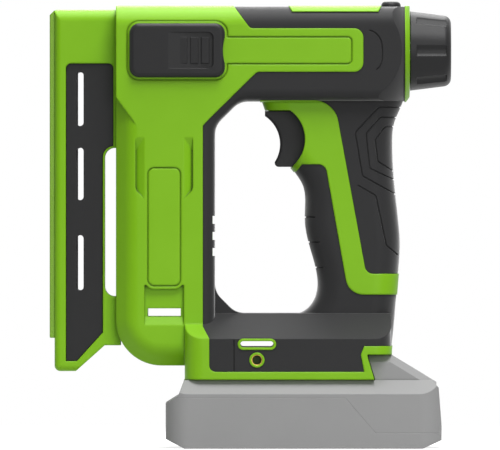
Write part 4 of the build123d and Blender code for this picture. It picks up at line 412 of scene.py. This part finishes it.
def metal(name, colour, dark, roughness, streak=(1, 1, 1)):
    """A metal with rolled or turned streaks, a cloudy plating and bright handled edges."""
    material, finish = new_finish(name)
    soft = round_normal(finish, metal_edge_round)
    streaks = grain_of(finish, streak_size, detail=3.0, stretch=streak)
    plating = grain_of(finish, plating_size, detail=3.0)
    cloudy = between(finish, plating, low=0.3, high=0.75) * plating_share + streaks * streak_share
    tone = blend_of(finish, cloudy, colour, dark)
    bright = blend_of(finish, edge_of(finish, soft) * bright_edge_share, tone, colour)
    rough = roughness + (streaks - 0.5) * streak_gloss + (plating - 0.5) * plating_gloss
    finish_with(finish, finish.node("BsdfPrincipled", {}, {
        "Base Color": bright, "Roughness": rough, "Metallic": 1.0,
        "Normal": bump_of(finish, streak_strength, streak_depth, streaks, soft)}))
    return material


# %% [markdown]
# ## The green shell
# The two housing halves are moulded in one bright lime green with a satin face. The colour is taken from a
# flat face that looks at the camera, so the shading of its faces comes from the light and not from the paint;
# only its grooves and holes get painted shade, and its edges a little painted highlight. The shell's edges
# are rounded more than those of the small pieces.

# %% Green shell
# dark is the painted shade in the shell's grooves and corners.
green_shell = moulded(
    "green_shell_plastic", colour=shade(121, 178, 16), pale=shade(127, 184, 28), dark=shade(76, 116, 10),
    roughness=0.40, grain=0.00028, grain_depth=0.00006, edge_round=0.0012)
dress(green_shell, "housing_left", "housing_right")

# %% [markdown]
# ## The soft grip
# The dark grey skin is a rubbery second moulding over the shell. It is far more matt than the shell and its
# grain is coarser, with a faint sheen where light skims it.

# %% Soft grip
soft_grip = moulded(
    "soft_grip_rubber", colour=shade(27, 27, 28), pale=shade(33, 33, 34), dark=shade(7, 7, 7),
    roughness=0.55, grain=0.00045, grain_depth=0.00012, sheen=0.7)
dress(soft_grip, "overmould_left", "overmould_right")

# %% [markdown]
# ## Black plastic controls
# Slider, trigger, dial, button and the magazine's side panels are hard black nylon with a fine texture, a
# little smoother than the grip, so they catch a soft highlight.

# %% Black plastic
black_nylon = moulded(
    "black_nylon", colour=shade(26, 26, 27), pale=shade(31, 31, 32), dark=shade(6, 6, 6),
    roughness=0.42, grain=0.00025, grain_depth=0.00006, sheen=0.08)
dress(black_nylon, "magazine_cover_left", "magazine_cover_right", "trigger", "release_slider",
      "slider_retainer", "power_dial", "lock_button", "rail_end_cap", "battery_latch", "trigger_switch",
      "terminal_block")

# %% [markdown]
# ## The grey battery pack
# The pack is one even mid grey with a dull face.

# %% Battery case
grey_case = moulded(
    "grey_pack_plastic", colour=shade(145, 145, 145), pale=shade(150, 150, 150), dark=shade(84, 84, 84),
    roughness=0.55, grain=0.0003, grain_depth=0.00006)
dress(grey_case, "battery_case_lower", "battery_case_upper")

# %% [markdown]
# ## The painted front plate
# The narrow plate that meets the work is steel, painted to match the shell. Paint wears off the edge that
# slides over staples and boards, so a little bare metal shows there: one shader mixed over another by a mask.

# %% Painted plate
plate_edge_round = 0.0004
plate_speck_size = 0.0005
plate_cloud_size = 0.012
paint_roughness = 0.36
paint_speck_gloss = 0.1
bare_roughness = 0.3
bare_speck_gloss = 0.2

plate_paint, plate = new_finish("painted_front_plate")
plate_soft = round_normal(plate, plate_edge_round)
plate_specks = grain_of(plate, plate_speck_size, detail=3.0)
plate_clouds = grain_of(plate, plate_cloud_size, detail=3.0)
plate_worn = edge_of(plate, plate_soft) * between(plate, plate_clouds, low=0.52, high=0.62)
plate_colour = blend_of(plate, plate_clouds, shade(110, 155, 22), shade(119, 166, 24))
plate_bump = bump_of(plate, strength=0.3, depth=0.00005, height=plate_specks, normal=plate_soft)
paint_coat = plate.node("BsdfPrincipled", {}, {
    "Base Color": plate_colour, "Roughness": paint_roughness + plate_specks * paint_speck_gloss,
    "Normal": plate_bump})
bare_steel = plate.node("BsdfPrincipled", {}, {
    "Base Color": shade(170, 172, 174), "Metallic": 1.0,
    "Roughness": bare_roughness + plate_specks * bare_speck_gloss, "Normal": plate_bump})
finish_with(plate, plate.node("MixShader", {}, {0: plate_worn, 1: paint_coat, 2: bare_steel}))
dress(plate_paint, "front_plate")

# %% [markdown]
# ## Steel, brass, and the drive inside
# The channel, rail, blade and motor can are rolled steel, with streaks up and down. Shafts, gears and the
# hammer are cut, with finer streaks along the barrel. The bulkheads and screws are zinc plated. The bearing,
# the threaded insert and the contacts are brass.

# %% Metals
rolled_steel = metal(
    "rolled_steel", colour=shade(176, 178, 181), dark=shade(132, 134, 138),
    roughness=0.34, streak=(1, 1, 0.03))
dress(rolled_steel, "magazine_channel", "nose_block", "staple_rail", "staple_pusher", "driver_blade",
      "motor_can")
cut_steel = metal(
    "cut_steel", colour=shade(186, 187, 189), dark=shade(140, 142, 146),
    roughness=0.28, streak=(0.05, 1, 1))
dress(cut_steel, "sun_gear", "planet_gear_1", "planet_gear_2", "planet_gear_3", "planet_carrier",
      "sector_gear", "guide_rods", "dial_spindle", "pusher_guide_rod", "spring_seat", "hammer_carriage")
zinc_plate = metal(
    "zinc_plated_steel", colour=shade(190, 192, 196), dark=shade(150, 154, 164), roughness=0.38)
dress(zinc_plate, "front_bulkhead", "middle_bulkhead", "rear_bulkhead", "housing_screws")
brass = metal(
    "turned_brass", colour=shade(212, 176, 98), dark=shade(168, 132, 62),
    roughness=0.3, streak=(0.05, 1, 0.05))
dress(brass, "output_bearing", "belt_hook_insert", "battery_contacts")

# %% [markdown]
# ## Inside plastics and rubber
# Gearbox shells are natural nylon, a warm off white. The bumper that stops the hammer is black rubber.

# %% Inside plastics
natural_nylon = moulded(
    "natural_nylon", colour=shade(214, 212, 202), pale=shade(224, 222, 214), dark=shade(150, 146, 132),
    roughness=0.4, grain=0.0004, grain_depth=0.00005)
dress(natural_nylon, "motor_end_cap", "ring_gear", "gearbox_cover")
bumper = moulded(
    "bumper_rubber", colour=shade(28, 28, 29), pale=shade(36, 36, 37), dark=shade(8, 8, 8),
    roughness=0.75, grain=0.0005, grain_depth=0.0001)
dress(bumper, "front_bumper")

# %% [markdown]
# ## The armature, the cells and the board
# These three carry more than one finish each on a single piece. The piece's own coordinates tell where one
# stops and the next starts: copper windings stand at the ends of the armature's iron, a cell's sleeve ends
# just short of its steel ends, and the parts on the board stand above its lacquered face.

# %% Armature
lower_winding = 0.018
upper_winding = 0.022
wire_ripple = 700
sheet_ripple = 420
sheet_relief = 0.4
iron_roughness = 0.42
winding_polish = 0.1
sheet_gloss = 0.08

armature_paint, armature = new_finish("armature_iron_and_copper")
armature_z = height_of(armature, "Z")
armature_low, armature_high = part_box("motor_armature")
windings = (armature_z < armature_low.z + lower_winding).most(armature_z > armature_high.z - upper_winding)
turns_of_wire = armature.node("TexWave", {"bands_direction": "DIAGONAL"}, {
    "Vector": place_on(armature), "Scale": wire_ripple, "Distortion": 1.5, "Detail": 1.0})
sheets = armature.node("TexWave", {"bands_direction": "Z"}, {
    "Vector": place_on(armature), "Scale": sheet_ripple, "Distortion": 0.2})
copper = blend_of(armature, turns_of_wire, shade(128, 62, 28), shade(196, 112, 62))
iron = blend_of(armature, sheets, shade(92, 92, 96), shade(142, 143, 147))
armature_bump = armature.node("Bump", {}, {
    "Strength": 0.5, "Distance": 0.0002, "Height": turns_of_wire * windings + sheets * sheet_relief})
finish_with(armature, armature.node("BsdfPrincipled", {}, {
    "Base Color": blend_of(armature, windings, iron, copper), "Metallic": 1.0,
    "Roughness": iron_roughness - windings * winding_polish + sheets * sheet_gloss,
    "Normal": armature_bump}))
dress(armature_paint, "motor_armature")

# %% Cells
bare_length = 0.0006
ring_length = 0.003
sleeve_mark_size = 0.004
sleeve_roughness = 0.32
sleeve_gloss = 0.12

cell_paint, cell = new_finish("cell_sleeve_and_ends")
cell_low, cell_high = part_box("battery_cells")
cell_y = height_of(cell, "Y")
upper_end = cell_y > cell_high.y - bare_length
bare_end = (cell_y < cell_low.y + bare_length).most(upper_end)
white_ring = (cell_y > cell_high.y - ring_length) - upper_end
sleeve_marks = grain_of(cell, sleeve_mark_size, detail=3.0, stretch=(1, 0.2, 1))
sleeve = blend_of(cell, sleeve_marks, shade(58, 112, 170), shade(70, 126, 182))
sleeve_and_ring = blend_of(cell, white_ring, sleeve, shade(226, 226, 224))
cell_bump = cell.node("Bump", {}, {"Strength": 0.2, "Distance": 0.0001, "Height": sleeve_marks})
finish_with(cell, cell.node("BsdfPrincipled", {}, {
    "Base Color": blend_of(cell, bare_end, sleeve_and_ring, shade(186, 188, 190)),
    "Metallic": bare_end, "Roughness": sleeve_roughness + sleeve_marks * sleeve_gloss,
    "Normal": cell_bump}))
dress(cell_paint, "battery_cells")

# %% Board
board_top = 0.0018
track_density = 260
board_speck_size = 0.0009
board_speck_relief = 0.2
lacquer_roughness = 0.3
lacquer_coat = 0.3
board_speck_gloss = 0.15
chip_dullness = 0.15

board_paint, board = new_finish("lacquered_board")
board_low, board_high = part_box("control_board")
above_face = height_of(board, "Z") > board_low.z + board_top
tracks = board.node("TexBrick", {"offset": 0.5, "squash": 0.7, "squash_frequency": 3}, {
    "Vector": place_on(board), "Scale": track_density, "Mortar Size": 0.09, "Mortar Smooth": 0.1},
    output="Fac")
lacquer = blend_of(board, tracks, shade(10, 92, 44), shade(34, 128, 62))
board_specks = grain_of(board, board_speck_size, detail=2.0)
chips = blend_of(board, board_specks, shade(26, 26, 28), shade(52, 52, 54))
board_bump = board.node("Bump", {}, {
    "Strength": 0.3, "Distance": 0.00005, "Height": tracks + board_specks * board_speck_relief})
finish_with(board, board.node("BsdfPrincipled", {}, {
    "Base Color": blend_of(board, above_face, lacquer, chips),
    "Roughness": lacquer_roughness + board_specks * board_speck_gloss + above_face * chip_dullness,
    "Coat Weight": lacquer_coat - above_face * lacquer_coat, "Normal": board_bump}))
dress(board_paint, "control_board")

# %% [markdown]
# ## Wound springs
# The solids keep a plain tube where each spring sits. Here each one is wound from wire: a small circle is
# spun round the spring's axis while it climbs, first in a closed end turn, then in open turns, then in
# another closed turn, which is how a compression spring is coiled.

# %% Springs
spring_wire = metal(
    "drawn_spring_wire", colour=shade(168, 170, 173), dark=shade(120, 122, 127),
    roughness=0.3, streak=(1, 1, 0.2))
around_wire = 10
around_turn = 24
along_x = (1, 0, 0)
along_z = (0, 0, 1)


def open_climb(node, axis, wire, turns):
    """The climb of one open turn where a spring with two closed end turns fills its node's box."""
    low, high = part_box(node)
    return ((high - low).dot(Vector(axis)) - 3 * wire) / turns


def wind(name, node, axis, wire, laps, start=0.0):
    """Wire wound along a node's axis. Each lap is a number of turns and the climb of one turn."""
    low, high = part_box(node)
    length = (high - low).dot(Vector(axis))
    across = [side for side, unit in zip(high - low, axis) if not unit]
    mid_radius = min(across) / 2 - wire / 2
    coil = bmesh.new()
    bmesh.ops.create_circle(coil, segments=around_wire, radius=wire / 2, matrix=(
        Matrix.Translation((mid_radius, 0, start + wire / 2)) @ Matrix.Rotation(pi / 2, 4, "X")))
    end = list(coil.verts) + list(coil.edges)
    for turns, climb in laps:
        made = bmesh.ops.spin(
            coil, geom=end, axis=(0, 0, 1), cent=(0, 0, 0), dvec=(0, 0, climb / around_turn),
            angle=2 * pi * turns, steps=around_turn * turns)
        end = made["geom_last"]
    bmesh.ops.holes_fill(coil, edges=[edge for edge in coil.edges if edge.is_boundary])
    bmesh.ops.recalc_face_normals(coil, faces=coil.faces)
    foot = (low + high) / 2 - Vector(axis) * length / 2
    lay = Vector((0, 0, 1)).rotation_difference(Vector(axis)).to_matrix().to_4x4()
    bmesh.ops.transform(coil, matrix=Matrix.Translation(foot) @ lay, verts=coil.verts)
    data = bpy.data.meshes.new(name)
    coil.to_mesh(data)
    coil.free()
    data.shade_smooth()
    data.materials.append(spring_wire)
    spring = bpy.data.objects.new(name, data)
    bpy.context.scene.collection.objects.link(spring)
    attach(spring, nodes[node]["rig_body"])
    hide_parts(node)
    print(name, "turns", sum(turns for turns, climb in laps), "wire mm", 1000 * wire)
    return spring


def whole_spring(name, node, axis, wire, turns):
    """A compression spring that fills its node's box, with a closed turn at either end."""
    climb = open_climb(node, axis, wire, turns)
    return wind(name, node, axis, wire, [(1, wire), (turns, climb), (1, wire)])


def press(spring, node, axis, still, moving, travel):
    """Gives a spring its own mesh; the spring is not flattened. Ends are shares of the box's length."""
    low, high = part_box(node)
    length = (high - low).dot(Vector(axis))
    anchor = (low + high) / 2 + Vector(axis) * length * (still - 0.5)
    1 - travel / (length * abs(moving - still))
    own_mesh(spring)


pusher_coil = whole_spring("pusher_spring_coil", "pusher_spring", along_z, wire=0.0004, turns=44)
trigger_coil = whole_spring("trigger_spring_coil", "trigger_spring", along_x, wire=0.0004, turns=1)
button_coil = whole_spring("lock_button_spring_coil", "lock_button_spring", along_z, wire=0.0005, turns=4)
latch_coil = whole_spring("battery_latch_spring_coil", "battery_latch_spring", along_z, wire=0.0004, turns=3)
press(pusher_coil, "pusher_spring", along_z, still=0, moving=1, travel=0.100)
press(trigger_coil, "trigger_spring", along_x, still=1, moving=0, travel=0.005)
press(button_coil, "lock_button_spring", along_z, still=0, moving=1, travel=0.0018)
press(latch_coil, "battery_latch_spring", along_z, still=0, moving=1, travel=0.0025)

# %% [markdown]
# The drive spring is pressed from both ends: the hammer pushes its front and the dial's seat pushes its rear.
# A piece can flatten with one joint only, so the wire is wound in two lengths that meet at a still turn.

# %% Drive spring
drive_wire = 0.0026
front_turns = 7
rear_turns = 3

drive_climb = open_climb("drive_spring", along_x, drive_wire, front_turns + rear_turns)
drive_low, drive_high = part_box("drive_spring")
front_rise = drive_wire + front_turns * drive_climb
still_share = (front_rise + drive_wire / 2) / (drive_high - drive_low).x
front_coil = wind(
    "drive_spring_front_coil", "drive_spring", along_x, drive_wire,
    [(1, drive_wire), (front_turns, drive_climb)])
rear_coil = wind(
    "drive_spring_rear_coil", "drive_spring", along_x, drive_wire,
    [(rear_turns, drive_climb), (1, drive_wire)], start=front_rise)
press(front_coil, "drive_spring", along_x, still=still_share, moving=0, travel=0.018)
press(rear_coil, "drive_spring", along_x, still=still_share, moving=1, travel=0.006)

# %% [markdown]
# ## Last look
# Colours are shown as they are written, with no film curve.

# %% Finish
bpy.context.scene.view_settings.view_transform = "Standard"
